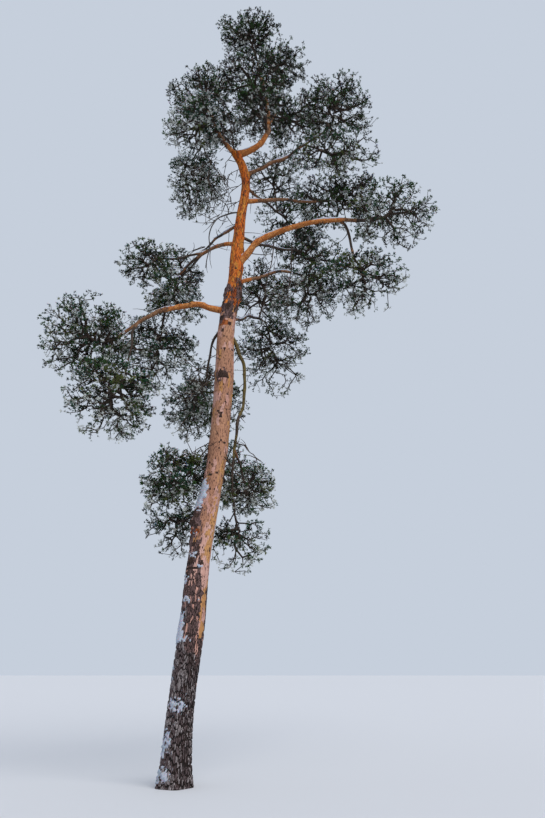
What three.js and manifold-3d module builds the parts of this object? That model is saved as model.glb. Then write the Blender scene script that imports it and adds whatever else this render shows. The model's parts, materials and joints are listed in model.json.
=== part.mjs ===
// A standing Scots pine about 17 m tall: a leaning trunk, crooked boughs and separate masses of needles.
// Millimetres, +Z up. The origin is the middle of the flat cut at ground level. +X is to the right and
// +Y is away from the side on which the snow ledge and the long left bough show.
import * as THREE from "three";
import Module from "manifold-3d";

const wasm = await Module();
wasm.setup();

// Driving dimensions of the trunk. Each station is its height, its offsets along X and Y and its diameter.
const TRUNK_STATIONS = [
  [0, 0, 0, 430],
  [1100, 40, 25, 412],
  [2300, 158, 50, 412],
  [3400, 222, 70, 386],
  [4300, 345, 80, 362],
  [5200, 466, 85, 348],
  [6850, 551, 60, 366],
  [7900, 568, 35, 325],
  [8700, 685, 20, 292],
  [9700, 745, 5, 252],
  [10600, 810, -10, 216],
  [11500, 898, 0, 190],
  [12000, 815, 10, 184],
  [12400, 655, 20, 164],
];
const TRUNK_SIDES = 12;
const TRUNK_RING_STEP = 560;
const FLARE_HEIGHT = 420; // the root flare fades by a factor of e over each such height
const FLARE_GROWTH = 0.3; // share of the radius that the flare adds at the ground
const FLARE_RINGS = [0, 0.25, 0.6, 1.1, 1.8]; // as shares of the flare height
const FLARE_LOBES = 5;
const LOBE_DEPTH = 0.07;
const LOBE_TURN = 0.5;

// Driving dimensions of the limbs: where each leaves its parent (a height on the trunk, a share of a
// bough), its tip, its slope in degrees as it leaves and as it ends, and its first and last diameter.
const BOUGHS = [
  { name: "bough_leader", from: "trunk", at: 12360, tip: [1100, 100, 15450], rise: 20, fall: 100,
    thick: [140, 50] },
  { name: "bough_left_top", from: "trunk", at: 12340, tip: [-60, -100, 13600], rise: 40, fall: 50,
    thick: [105, 50] },
  { name: "bough_left_hanging", from: "bough_left_top", at: 0.55, tip: [-330, 450, 12750], rise: 10,
    fall: -45, thick: [48, 34] },
  { name: "bough_front_top", from: "bough_leader", at: 0.35, tip: [1250, -950, 13000], rise: 10,
    fall: 5, thick: [58, 40] },
  { name: "bough_back_top", from: "bough_leader", at: 0.45, tip: [1650, 1050, 14700], rise: 45,
    fall: 30, thick: [62, 42] },
  { name: "bough_right_top", from: "trunk", at: 11750, tip: [2560, 0, 12930], rise: 28, fall: 42,
    thick: [85, 45] },
  { name: "bough_right_middle", from: "trunk", at: 11030, tip: [2560, 300, 11280], rise: 10, fall: 8,
    thick: [95, 45] },
  { name: "bough_back_right", from: "trunk", at: 11450, tip: [1750, 1750, 12050], rise: 10, fall: 10,
    thick: [62, 42] },
  { name: "bough_right_big", from: "trunk", at: 9300, tip: [3180, -650, 9990], rise: 60, fall: -16,
    thick: [150, 75] },
  { name: "bough_right_low", from: "bough_right_big", at: 0.86, tip: [3180, -500, 9050], rise: -10,
    fall: -50, thick: [58, 42] },
  { name: "bough_right_inner", from: "trunk", at: 10130, tip: [2020, 900, 10420], rise: -5, fall: 20,
    thick: [64, 42] },
  { name: "bough_right_arm", from: "trunk", at: 8930, tip: [2070, 400, 9420], rise: 22, fall: -6,
    thick: [85, 45] },
  { name: "bough_back_low", from: "trunk", at: 8150, tip: [1280, 1450, 8900], rise: 20, fall: 10,
    thick: [62, 42] },
  { name: "bough_back_left", from: "trunk", at: 10420, tip: [-380, 1560, 10500], rise: 20, fall: -12,
    thick: [62, 42] },
  { name: "bough_back_middle", from: "trunk", at: 7250, tip: [350, 1500, 7500], rise: 20, fall: 5,
    thick: [58, 40] },
  { name: "bough_left_upper", from: "trunk", at: 9880, tip: [-480, 400, 9440], rise: 30, fall: -48,
    thick: [95, 45] },
  { name: "bough_left_reach", from: "bough_left_upper", at: 0.6, tip: [-820, 150, 9650], rise: -10,
    fall: 5, thick: [50, 36] },
  { name: "dead_branch", from: "trunk", at: 10700, tip: [140, -300, 9100], rise: -5, fall: -88,
    thick: [38, 16] },
  { name: "bough_left_main", from: "trunk", at: 8270, tip: [-1520, -200, 7560], rise: 14, fall: -44,
    pull: 0.5, thick: [130, 60] },
  { name: "bough_left_low", from: "bough_left_main", at: 0.82, tip: [-1180, -650, 6500], rise: -40,
    fall: -65, thick: [52, 38] },
  { name: "bough_left_inner", from: "bough_left_main", at: 0.55, tip: [-800, 480, 8150], rise: 5,
    fall: -30, thick: [50, 36] },
  { name: "bough_left_middle", from: "trunk", at: 7930, tip: [190, 330, 7080], rise: 5, fall: -85,
    thick: [58, 40] },
  { name: "bough_low_left", from: "trunk", at: 5450, tip: [120, 330, 5180], rise: -10, fall: -30,
    thick: [52, 38] },
  { name: "bough_hanging", from: "trunk", at: 7850, tip: [765, 160, 5240], rise: -20, fall: -95,
    pull: 0.27, thick: [75, 45] },
  { name: "bough_low_right", from: "bough_hanging", at: 0.94, tip: [1000, 600, 4850], rise: -20,
    fall: -30, thick: [46, 36] },
];
const STUB_BELOW = 80; // limbs thinner than this have fewer sides
const THICK_SIDES = 8;
const THIN_SIDES = 6;
const LIMB_RING_STEP = 380;
const LIMB_FEWEST_RINGS = 3;
const LIMB_PULL = 0.4; // how far a limb keeps its first and last slope, as a share of its reach
const LIMB_WANDER = 0.014; // sideways waver of a limb, as a share of its reach
const LIMB_WAVES = 1.5;

// Driving dimensions of the masses: the limb that carries each (its tip, or a place on its side), the
// centre and half sizes of the space it fills, and how many sprays stand in it.
const MASSES = [
  { name: "foliage_tip", from: "bough_leader", centre: [870, 50, 16250], half: [900, 580, 810],
    sprays: 11 },
  { name: "foliage_tip_right", from: "bough_leader", at: 0.84, centre: [1680, 300, 15510],
    half: [760, 650, 920], sprays: 9 },
  { name: "foliage_upper_front", from: "bough_front_top", centre: [1050, -1200, 13130],
    half: [940, 700, 800], sprays: 10 },
  { name: "foliage_upper_left", from: "bough_left_top", centre: [-110, 100, 14310],
    half: [960, 680, 800], sprays: 9 },
  { name: "foliage_left_outer", from: "bough_left_top", at: 0.62, centre: [-190, -500, 12660],
    half: [780, 720, 820], sprays: 8 },
  { name: "foliage_left_hanging", from: "bough_left_hanging", centre: [-270, 650, 12070],
    half: [710, 880, 1040], sprays: 11 },
  { name: "foliage_upper_middle", from: "bough_leader", at: 0.5, centre: [1220, 500, 14130],
    half: [970, 750, 810], sprays: 8 },
  { name: "foliage_fork", from: "bough_left_top", at: 0.3, centre: [230, 1100, 14330],
    half: [680, 750, 520], sprays: 8 },
  { name: "foliage_upper_back", from: "bough_back_top", centre: [1990, 1600, 15020],
    half: [1220, 1000, 870], sprays: 10 },
  { name: "foliage_right_top", from: "bough_right_top", centre: [2970, 0, 13780],
    half: [1020, 780, 890], sprays: 11 },
  { name: "foliage_right_crest", from: "bough_right_top", at: 0.8, centre: [2870, -400, 11930],
    half: [1020, 700, 720], sprays: 8 },
  { name: "foliage_right_middle", from: "bough_right_middle", centre: [2980, 500, 11510],
    half: [1120, 800, 810], sprays: 9 },
  { name: "foliage_right_outer", from: "bough_right_big", centre: [3860, -700, 10090],
    half: [940, 850, 790], sprays: 9 },
  { name: "foliage_right_low", from: "bough_right_low", centre: [3270, -450, 8670],
    half: [900, 900, 740], sprays: 9 },
  { name: "foliage_right_inner", from: "bough_right_inner", centre: [2440, 1350, 10400],
    half: [980, 900, 850], sprays: 9 },
  { name: "foliage_right_arm", from: "bough_right_arm", centre: [2200, 450, 8850],
    half: [910, 900, 750], sprays: 8 },
  { name: "foliage_back_upper", from: "bough_back_right", at: 0.85, centre: [1470, 1950, 13570],
    half: [940, 900, 970], sprays: 8 },
  { name: "foliage_back_centre", from: "bough_back_low", at: 0.9, centre: [1270, 2200, 9940],
    half: [870, 1000, 1040], sprays: 9 },
  { name: "foliage_low_back", from: "trunk", at: 5150, centre: [460, 1650, 5350],
    half: [760, 900, 810], sprays: 8 },
  { name: "foliage_back_low", from: "bough_back_low", centre: [1470, 1800, 8190],
    half: [910, 1000, 990], sprays: 10 },
  { name: "foliage_back_right", from: "bough_back_right", centre: [2020, 2200, 12010],
    half: [1120, 1000, 940], sprays: 9 },
  { name: "foliage_back_left", from: "bough_back_left", centre: [-940, 2100, 10360],
    half: [820, 980, 900], sprays: 8 },
  { name: "foliage_back_middle", from: "bough_back_middle", centre: [180, 2100, 7030],
    half: [840, 950, 910], sprays: 8 },
  { name: "foliage_left_reach", from: "bough_left_reach", centre: [-1080, 50, 9380],
    half: [760, 660, 590], sprays: 8 },
  { name: "foliage_left_upper", from: "bough_left_upper", centre: [-600, 620, 8860],
    half: [710, 900, 820], sprays: 8 },
  { name: "foliage_left_main", from: "bough_left_main", centre: [-2110, -200, 7530],
    half: [990, 920, 950], sprays: 14 },
  { name: "foliage_left_low", from: "bough_left_low", centre: [-1350, -850, 5980],
    half: [870, 920, 850], sprays: 12 },
  { name: "foliage_left_inner", from: "bough_left_inner", centre: [-930, 800, 7680],
    half: [1020, 980, 1050], sprays: 10 },
  { name: "foliage_left_middle", from: "bough_left_middle", centre: [-200, 1000, 6710],
    half: [640, 950, 1060], sprays: 9 },
  { name: "foliage_low_left", from: "bough_low_left", centre: [-320, 350, 4790], half: [690, 900, 820],
    sprays: 11 },
  { name: "foliage_low_left_end", from: "trunk", at: 4250, centre: [-390, 850, 4140],
    half: [640, 800, 660], sprays: 7 },
  { name: "foliage_low_right", from: "bough_low_right", centre: [980, 850, 4770],
    half: [630, 900, 850], sprays: 9 },
  { name: "foliage_low_right_end", from: "bough_hanging", centre: [860, 850, 3860],
    half: [630, 800, 710], sprays: 8 },
];
const STEM_SHARE = 0.92; // the stem runs this share of the way from its foot to the mass's centre
const STEM_SIDES = 4;
const STEM_RINGS = 2;
const STEM_TAPER = 0.7; // the stem's last diameter as a share of its first
const SIDE_STEM_DIAMETER = 48; // first diameter of a stem that leaves a limb's side
const FORKS = [0.3, 0.96]; // the sprays' twigs leave the stem one after another between these shares of it
const SPRAY_LENGTH = [860, 1180]; // at most, for the smallest and the largest spray
const SPRAY_REACH = 0.94; // at most, as a share of the way from the fork to the spray's tip
const SPRAY_THICKNESS = 30;
const SPRAY_TEETH = [[-48, 0.88], [-17, 1], [17, 0.96], [48, 0.84]]; // degrees, reach
const SPRAY_NOTCH_REACH = 0.68;
const SPRAY_PIVOT = 0.42; // the blade is thickest at this share of its length
const TWIG_RADII = [9, 7]; // where a twig leaves its stem and where its spray begins
const HEADING = { outward: 0.3, ahead: 0.2, way: 0.8 }; // a spray points out from the centre, on along
// the stem and away from its fork, in these shares
const SPRAY_ROLL = 0.8; // radians that a spray is turned from level, to one side and the other by turns
const ROLL_SPREAD = 1.2;
const SPRAY_TRIES = 8;
const TRY_TURN = 0.8; // each new try turns the spray by these radians,
const TRY_STRAIGHTEN = 0.2; // adds this share of the way from its fork,
const TRY_LENGTH = 0.94; // makes it shorter
const TRY_REACH = 0.97; // and draws its tip in
const SHELL = [0.92, 1.02]; // the sprays' tips lie between these shares of the space's half sizes
const TIP_DRAW = 0.05; // a tip outside the space is drawn in by this share at a time
const TIP_LEAST = 0.4;
const SPACE_MARGIN = 1.06; // the whole spray keeps within this share of the half sizes
const NEIGHBOUR_GAP = 12; // between the spaces of two masses
const LIMB_CLEARANCE = 12; // between a spray or twig and any limb that doesn't carry it
const SEAT_GAP = 0.3; // between a piece and the limb that carries it
const GOLDEN_ANGLE = Math.PI * (3 - Math.sqrt(5));
const SEED = 1707;

const BARK = { trunk: 0x9b7559, bough: 0x98623c, dead: 0x4a4643 };
const NEEDLES = 0x4a5a4c;

const { degToRad: radians, lerp } = THREE.MathUtils;
const vector = (point) => new THREE.Vector3(...point);

// A repeatable stream of numbers from 0 to 1.
function seeded(seed) {
  let state = seed >>> 0;
  return () => {
    state = (state + 0x6d2b79f5) >>> 0;
    let mixed = Math.imul(state ^ (state >>> 15), state | 1);
    mixed ^= mixed + Math.imul(mixed ^ (mixed >>> 7), mixed | 61);
    return ((mixed ^ (mixed >>> 14)) >>> 0) / 4294967296;
  };
}

// Offset and diameter of the trunk at a height, on a smooth curve through its stations.
function trunkAt(height) {
  const last = TRUNK_STATIONS.length - 1;
  const upper = Math.max(1, TRUNK_STATIONS.findIndex((s) => s[0] >= height));
  const [low, high] = [TRUNK_STATIONS[upper - 1], TRUNK_STATIONS[upper]];
  const slope = (at, column) => {
    const [before, after] = [TRUNK_STATIONS[Math.max(at - 1, 0)], TRUNK_STATIONS[Math.min(at + 1, last)]];
    return (after[column] - before[column]) / (after[0] - before[0]);
  };
  const span = high[0] - low[0];
  const t = (height - low[0]) / span;
  const [leaving, arriving] = [t ** 3 - 2 * t ** 2 + t, t ** 3 - t ** 2].map((weight) => weight * span);
  const [x, y, diameter] = [1, 2, 3].map((column) =>
    low[column] * (2 * t ** 3 - 3 * t ** 2 + 1) + high[column] * (3 * t ** 2 - 2 * t ** 3) +
    slope(upper - 1, column) * leaving + slope(upper, column) * arriving);
  return { point: new THREE.Vector3(x, y, height), diameter };
}

// Joins rings of points, each anticlockwise seen from the last ring, into one closed solid's geometry.
function loft(rings) {
  const sides = rings[0].length;
  const last = (rings.length - 1) * sides;
  const faces = [];
  for (let start = 0; start < last; start += sides) {
    for (let side = 0; side < sides; side++) {
      const [a, b] = [start + side, start + ((side + 1) % sides)];
      faces.push(a, b, b + sides, a, b + sides, a + sides);
    }
  }
  for (let side = 1; side < sides - 1; side++) {
    faces.push(0, side + 1, side, last, last + side, last + side + 1);
  }
  return new THREE.BufferGeometry().setFromPoints(rings.flat()).setIndex(faces);
}

function solidOf(geometry) {
  return new wasm.Manifold(new wasm.Mesh({
    numProp: 3,
    vertProperties: geometry.getAttribute("position").array,
    triVerts: new Uint32Array(geometry.index.array),
  }));
}

// The largest body of a solid, without scraps or sealed hollows.
function largest(solid) {
  return solid.decompose().reduce((best, body) => (body.volume() > best.volume() ? body : best));
}

// -1 on the first ring, 1 on the last and 0 on those between.
function endOf(ring, last) {
  return Number(ring === last) - Number(ring === 0);
}

// The trunk's horizontal rings, grown outwards by a margin.
function trunkSolid(margin = 0) {
  const top = TRUNK_STATIONS.at(-1)[0];
  const flareHeights = FLARE_RINGS.map((share) => share * FLARE_HEIGHT);
  const steps = Math.round((top - flareHeights.at(-1)) / TRUNK_RING_STEP);
  const rest = Array.from({ length: steps }, (_, i) =>
    lerp(flareHeights.at(-1), top, (i + 1) / steps));
  const rings = [...flareHeights, ...rest].map((height, i, all) => {
    const { point, diameter } = trunkAt(height);
    const flare = Math.exp(-height / FLARE_HEIGHT);
    const lift = margin * endOf(i, all.length - 1);
    return Array.from({ length: TRUNK_SIDES }, (_, side) => {
      const turn = (side / TRUNK_SIDES) * 2 * Math.PI;
      const lobe = 1 + LOBE_DEPTH * flare * Math.cos(FLARE_LOBES * turn + LOBE_TURN);
      const radius = (diameter / 2) * (1 + FLARE_GROWTH * flare) * lobe + margin;
      return new THREE.Vector3(Math.cos(turn) * radius, Math.sin(turn) * radius, lift).add(point);
    });
  });
  return solidOf(loft(rings));
}

function sloping(heading, slope) {
  const flat = Math.cos(slope);
  return new THREE.Vector3(Math.cos(heading) * flat, Math.sin(heading) * flat, Math.sin(slope));
}

// The place on the trunk or on a bough where another limb leaves it.
function placeOn(name, at) {
  return name === "trunk" ? trunkAt(at).point : limbPaths.get(name).getPoint(at);
}

const limbPaths = new Map();

function limbPath({ from, at, tip, rise, fall, pull = LIMB_PULL }) {
  const start = placeOn(from, at);
  const end = vector(tip);
  const reach = end.clone().sub(start);
  const heading = Math.atan2(reach.y, reach.x);
  const hold = pull * reach.length();
  const leaving = sloping(heading, radians(rise)).multiplyScalar(hold);
  const arriving = sloping(heading, radians(fall)).multiplyScalar(-hold);
  return new THREE.CubicBezierCurve3(start, start.clone().add(leaving), end.clone().add(arriving), end);
}

// A tapering round limb along a curve, grown outwards by a margin, wavering sideways by some distance.
function limbSolid(path, [first, last], sides, steps, waver = 0, margin = 0) {
  const frames = path.computeFrenetFrames(steps);
  const rings = Array.from({ length: steps + 1 }, (_, i) => {
    const t = i / steps;
    const aside = waver * Math.sin(2 * LIMB_WAVES * Math.PI * t) * Math.sin(Math.PI * t);
    const lift = margin * endOf(i, steps);
    const middle = path.getPoint(t).addScaledVector(frames.normals[i], aside)
      .addScaledVector(frames.tangents[i], lift);
    const radius = lerp(first, last, t) / 2 + margin;
    return Array.from({ length: sides }, (_, side) => {
      const turn = (side / sides) * 2 * Math.PI;
      return middle.clone().addScaledVector(frames.normals[i], Math.cos(turn) * radius)
        .addScaledVector(frames.binormals[i], Math.sin(turn) * radius);
    });
  });
  return solidOf(loft(rings));
}

// The trunk and limbs made so far: each one's solid and the same solid grown by the seat gap.
const limbs = [];

// Takes away what lies inside a limb or within the seat gap of it.
function clearOfLimbs(solid) {
  return largest(limbs.reduce((rest, { grown }) =>
    (rest.minGap(grown, 1) > 0 ? rest : rest.subtract(grown)), solid));
}

function buildLimbs() {
  limbs.push({ name: "trunk", solid: trunkSolid(), grown: trunkSolid(SEAT_GAP) });
  for (const bough of BOUGHS) {
    const path = limbPath(bough);
    limbPaths.set(bough.name, path);
    const reach = path.getLength();
    const sides = bough.thick[0] < STUB_BELOW ? THIN_SIDES : THICK_SIDES;
    const steps = Math.max(LIMB_FEWEST_RINGS, Math.round(reach / LIMB_RING_STEP));
    const make = (margin) => limbSolid(path, bough.thick, sides, steps, LIMB_WANDER * reach, margin);
    limbs.push({ name: bough.name, solid: clearOfLimbs(make(0)), grown: make(SEAT_GAP) });
  }
}

// The stem of a mass, from its limb's tip or side into the space that the mass fills.
function stemOf(mass) {
  const onTip = mass.at === undefined;
  const place = placeOn(mass.from, mass.at ?? 1);
  const centre = vector(mass.centre);
  const foot = place.clone();
  const way = centre.clone().sub(place);
  const hub = place.clone().addScaledVector(way, STEM_SHARE);
  let first = SIDE_STEM_DIAMETER;
  let leaving = way.clone().normalize();
  if (onTip) {
    const bough = BOUGHS.find(({ name }) => name === mass.from);
    leaving = limbPaths.get(mass.from).getTangent(1);
    first = bough.thick[1];
    foot.addScaledVector(leaving, SEAT_GAP);
  }
  const bend = foot.clone().addScaledVector(leaving, way.length() * STEM_SHARE * 0.5);
  const path = new THREE.QuadraticBezierCurve3(foot, bend, hub);
  const thick = [first, first * STEM_TAPER];
  const solid = limbSolid(path, thick, STEM_SIDES, STEM_RINGS);
  return { path, thick, solid: onTip ? solid : clearOfLimbs(solid) };
}

// The flat faces that part a mass's space from those of its neighbours, as an outward normal and a reach.
function partings(mass) {
  const centre = vector(mass.centre);
  return MASSES.filter((other) => other !== mass).map((other) => {
    const way = vector(other.centre).sub(centre);
    const [own, theirs] = [mass, other].map(({ half }) =>
      1 / way.clone().normalize().divide(vector(half)).length());
    const normal = way.clone().normalize();
    const share = own / (own + theirs);
    return { normal, reach: normal.dot(centre) + way.length() * share - NEIGHBOUR_GAP / 2 };
  });
}

// A toothed blade for a spray of needles, and the three-sided twig that carries it from a fork. The
// blade lies along axis and across, and is thickest at the pivot that its teeth spread from.
function sprayOnTwig(fork, root, axis, across, length) {
  const normal = axis.clone().cross(across);
  const pivot = root.clone().addScaledVector(axis, SPRAY_PIVOT * length);
  const onRay = (degrees, reach) => root.clone()
    .addScaledVector(axis, Math.cos(radians(degrees)) * reach * length)
    .addScaledVector(across, Math.sin(radians(degrees)) * reach * length);
  const outline = SPRAY_TEETH.flatMap(([degrees, reach], i) => {
    const tooth = onRay(degrees, reach);
    const following = SPRAY_TEETH[i + 1];
    return following ? [tooth, onRay((degrees + following[0]) / 2, SPRAY_NOTCH_REACH)] : [tooth];
  });
  const along = root.clone().sub(fork).normalize().add(axis).normalize();
  const side = across.clone().addScaledVector(along, -across.dot(along)).normalize();
  const up = along.clone().cross(side);
  const ring = (middle, radius) => [90, 210, 330].map((degrees) => middle.clone()
    .addScaledVector(up, Math.sin(radians(degrees)) * radius)
    .addScaledVector(side, Math.cos(radians(degrees)) * radius));
  const crown = normal.multiplyScalar(SPRAY_THICKNESS / 2);
  const points = [...ring(fork, TWIG_RADII[0]), ...ring(root, TWIG_RADII[1]), ...outline,
    pivot.clone().add(crown), pivot.clone().sub(crown)];
  const [top, near, far] = [3, 4, 5];
  const first = 6;
  const last = first + outline.length - 1;
  const [above, below] = [last + 1, last + 2];
  const faces = [0, 2, 1, above, last, top, above, top, first, top, last, far, first, top, near,
    below, first, near, below, near, far, below, far, last];
  for (let edge = 0; edge < 3; edge++) {
    const next = (edge + 1) % 3;
    faces.push(edge, next, next + 3, edge, next + 3, edge + 3);
  }
  for (let point = first; point < last; point++) {
    faces.push(above, point, point + 1, below, point + 1, point);
  }
  return new THREE.BufferGeometry().setFromPoints(points).setIndex(faces);
}

// One mass: sprays on twigs that branch from its stem towards points spread evenly over its space.
function growMass(mass, index, stems) {
  const random = seeded(SEED + index);
  const centre = vector(mass.centre);
  const half = vector(mass.half);
  const faces = partings(mass);
  const stem = stems[index];
  const otherStems = stems.filter((_, i) => i !== index).map(({ solid }) => solid);
  const others = [...limbs.map(({ grown }) => grown), ...otherStems];
  const inSpace = (point) => point.clone().sub(centre).divide(half).length() <= SPACE_MARGIN &&
    faces.every(({ normal, reach }) => normal.dot(point) <= reach);
  const foot = stem.path.getPoint(0);
  const along = stem.path.getPoint(1).sub(foot);
  const sprays = [];
  const phase = random() * 2 * Math.PI;

  const tips = Array.from({ length: mass.sprays }, (_, i) => {
    const up = 1 - (2 * (i + 0.5)) / mass.sprays;
    const turn = i * GOLDEN_ANGLE + phase;
    const flat = Math.sqrt(1 - up * up);
    const outward = new THREE.Vector3(Math.cos(turn) * flat, Math.sin(turn) * flat, up).multiply(half);
    const share = lerp(...SHELL, random());
    const [size, lean] = [random(), random()];
    let tip = centre.clone().addScaledVector(outward, share);
    for (let pull = 1; pull > TIP_LEAST && !inSpace(tip); pull -= TIP_DRAW) {
      tip = centre.clone().addScaledVector(outward, share * pull);
    }
    return { tip, size, lean };
  }).sort((a, b) => a.tip.dot(along) - b.tip.dot(along));

  tips.forEach(({ tip, size, lean }, order) => {
    const fork = stem.path.getPoint(lerp(...FORKS, order / (tips.length - 1)));
    const way = tip.clone().sub(fork);
    const outward = tip.clone().sub(centre).normalize();
    const ahead = tip.clone().sub(foot).normalize();
    for (let attempt = 0; attempt < SPRAY_TRIES; attempt++) {
      const longest = Math.min(lerp(...SPRAY_LENGTH, size), SPRAY_REACH * way.length());
      const length = longest * TRY_LENGTH ** attempt;
      const axis = outward.clone().multiplyScalar(HEADING.outward).addScaledVector(ahead, HEADING.ahead)
        .addScaledVector(way.clone().normalize(), HEADING.way + TRY_STRAIGHTEN * attempt).normalize();
      const root = centre.clone().lerp(tip, TRY_REACH ** attempt).addScaledVector(axis, -length);
      const side = order % 2 ? SPRAY_ROLL : -SPRAY_ROLL;
      const roll = side + (lean - 0.5) * ROLL_SPREAD + attempt * TRY_TURN;
      const across = new THREE.Vector3(0, 0, 1).cross(axis).normalize().applyAxisAngle(axis, roll);
      const shape = sprayOnTwig(fork, root, axis, across, length);
      const corners = shape.getAttribute("position");
      const within = Array.from({ length: corners.count - 3 }, (_, i) =>
        new THREE.Vector3().fromBufferAttribute(corners, i + 3)).every(inSpace);
      if (!within) continue;
      const spray = solidOf(shape);
      if (others.some((limb) => spray.minGap(limb, 2 * LIMB_CLEARANCE) < LIMB_CLEARANCE)) continue;
      sprays.push(spray);
      break;
    }
  });
  const fused = wasm.Manifold.union([stem.solid, ...sprays]);
  return largest(fused);
}

function meshOf(name, solid, colour, roughness) {
  const { vertProperties, triVerts } = solid.getMesh();
  const geometry = new THREE.BufferGeometry()
    .setAttribute("position", new THREE.BufferAttribute(vertProperties, 3))
    .setIndex(new THREE.BufferAttribute(triVerts, 1));
  geometry.computeVertexNormals();
  const finish = { color: colour, roughness, metalness: 0, flatShading: true };
  const mesh = new THREE.Mesh(geometry, new THREE.MeshStandardMaterial(finish));
  mesh.name = name;
  return mesh;
}

const pine = new THREE.Group();
buildLimbs();
for (const { name, solid } of limbs) {
  const colour = name === "trunk" ? BARK.trunk : name === "dead_branch" ? BARK.dead : BARK.bough;
  pine.add(meshOf(name, solid, colour, 0.9));
}
const stems = MASSES.map(stemOf);
MASSES.forEach((mass, index) => pine.add(meshOf(mass.name, growMass(mass, index, stems), NEEDLES, 0.8)));

export default pine;
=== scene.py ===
"""A standing Scots pine in light snow, about 17 m tall, dressed in bark, twigs, needles and snow.

Metres, +Z up. The origin is the middle of the flat cut at ground level, +X is to the right and +Y is
away from the camera. The limbs and masses have the sizes of the solids that they replace.
"""
import json
import math
from collections import namedtuple
from functools import lru_cache

import bpy
import numpy as np
from bpy.props import FloatProperty, FloatVectorProperty, IntProperty, PointerProperty
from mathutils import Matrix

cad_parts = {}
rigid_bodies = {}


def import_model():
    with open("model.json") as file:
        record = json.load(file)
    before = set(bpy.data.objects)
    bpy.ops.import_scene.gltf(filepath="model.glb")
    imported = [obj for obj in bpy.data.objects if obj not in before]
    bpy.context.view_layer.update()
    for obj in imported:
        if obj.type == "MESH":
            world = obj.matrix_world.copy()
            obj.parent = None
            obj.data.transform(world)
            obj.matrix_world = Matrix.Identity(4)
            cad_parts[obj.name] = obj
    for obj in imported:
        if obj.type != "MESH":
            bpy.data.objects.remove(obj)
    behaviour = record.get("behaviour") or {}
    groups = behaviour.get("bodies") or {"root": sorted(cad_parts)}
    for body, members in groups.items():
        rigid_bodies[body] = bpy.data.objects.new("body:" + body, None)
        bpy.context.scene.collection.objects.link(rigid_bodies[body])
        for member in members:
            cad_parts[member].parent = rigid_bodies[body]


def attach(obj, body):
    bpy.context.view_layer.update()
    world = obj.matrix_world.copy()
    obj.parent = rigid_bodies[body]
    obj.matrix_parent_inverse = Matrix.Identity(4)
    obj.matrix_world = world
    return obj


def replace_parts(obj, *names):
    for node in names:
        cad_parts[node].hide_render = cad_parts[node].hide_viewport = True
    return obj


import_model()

bl_info = {
    "name": "Snowed Scots pine",
    "version": (1, 0, 0),
    "blender": (4, 5, 0),
    "location": "3D View > Sidebar > Pine",
    "description": "Grows the bark, twigs, needles and snow of a Scots pine on its frame",
    "category": "Add Mesh",
}

BODY = "root"
UP = np.array((0.0, 0.0, 1.0))
TIP = 1.0

Bough = namedtuple("Bough", "name parent at tip rise fall thick pull", defaults=(0.4,))
Mass = namedtuple("Mass", "name limb at centre half sprays full filled white top",
                  defaults=(1.0, 1.0, 0.0, False))
Spray = namedtuple("Spray", "fork root axis across length")
Knot = namedtuple("Knot", "height turn size lift")
Crack = namedtuple("Crack", "height turn reach width")
Patch = namedtuple("Patch", "height turn width length thickness cover", defaults=(0.0, 1.0))
BareBranch = namedtuple("BareBranch", "radius points")
Finish = namedtuple("Finish", "material colour pale dark blotch grain depth cracked", defaults=(0.5,))

# The trunk: the height, the offsets along X and Y and the diameter of each station.
TRUNK_STATIONS = (
    (0, 0, 0, 0.43),
    (1.1, 0.04, 0.025, 0.412),
    (2.3, 0.158, 0.05, 0.412),
    (3.4, 0.222, 0.07, 0.386),
    (4.3, 0.345, 0.08, 0.362),
    (5.2, 0.466, 0.085, 0.348),
    (6.85, 0.551, 0.06, 0.366),
    (7.9, 0.568, 0.035, 0.325),
    (8.7, 0.685, 0.02, 0.292),
    (9.7, 0.745, 0.005, 0.252),
    (10.6, 0.81, -0.01, 0.216),
    (11.5, 0.898, 0, 0.19),
    (12, 0.815, 0.01, 0.184),
    (12.4, 0.655, 0.02, 0.164),
)
FLARE_HEIGHT = 0.42
FLARE_GROWTH = 0.3  # how much wider the foot is, as a share
FLARE_LOBES = 5
LOBE_DEPTH = 0.07
LOBE_TURN = 0.5
FOOT_FADE = 0.05  # the bark's relief fades towards the flat cut over this height
FOOT_RELIEF = 0.02  # how far up that fade the flat cut lies

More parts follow.
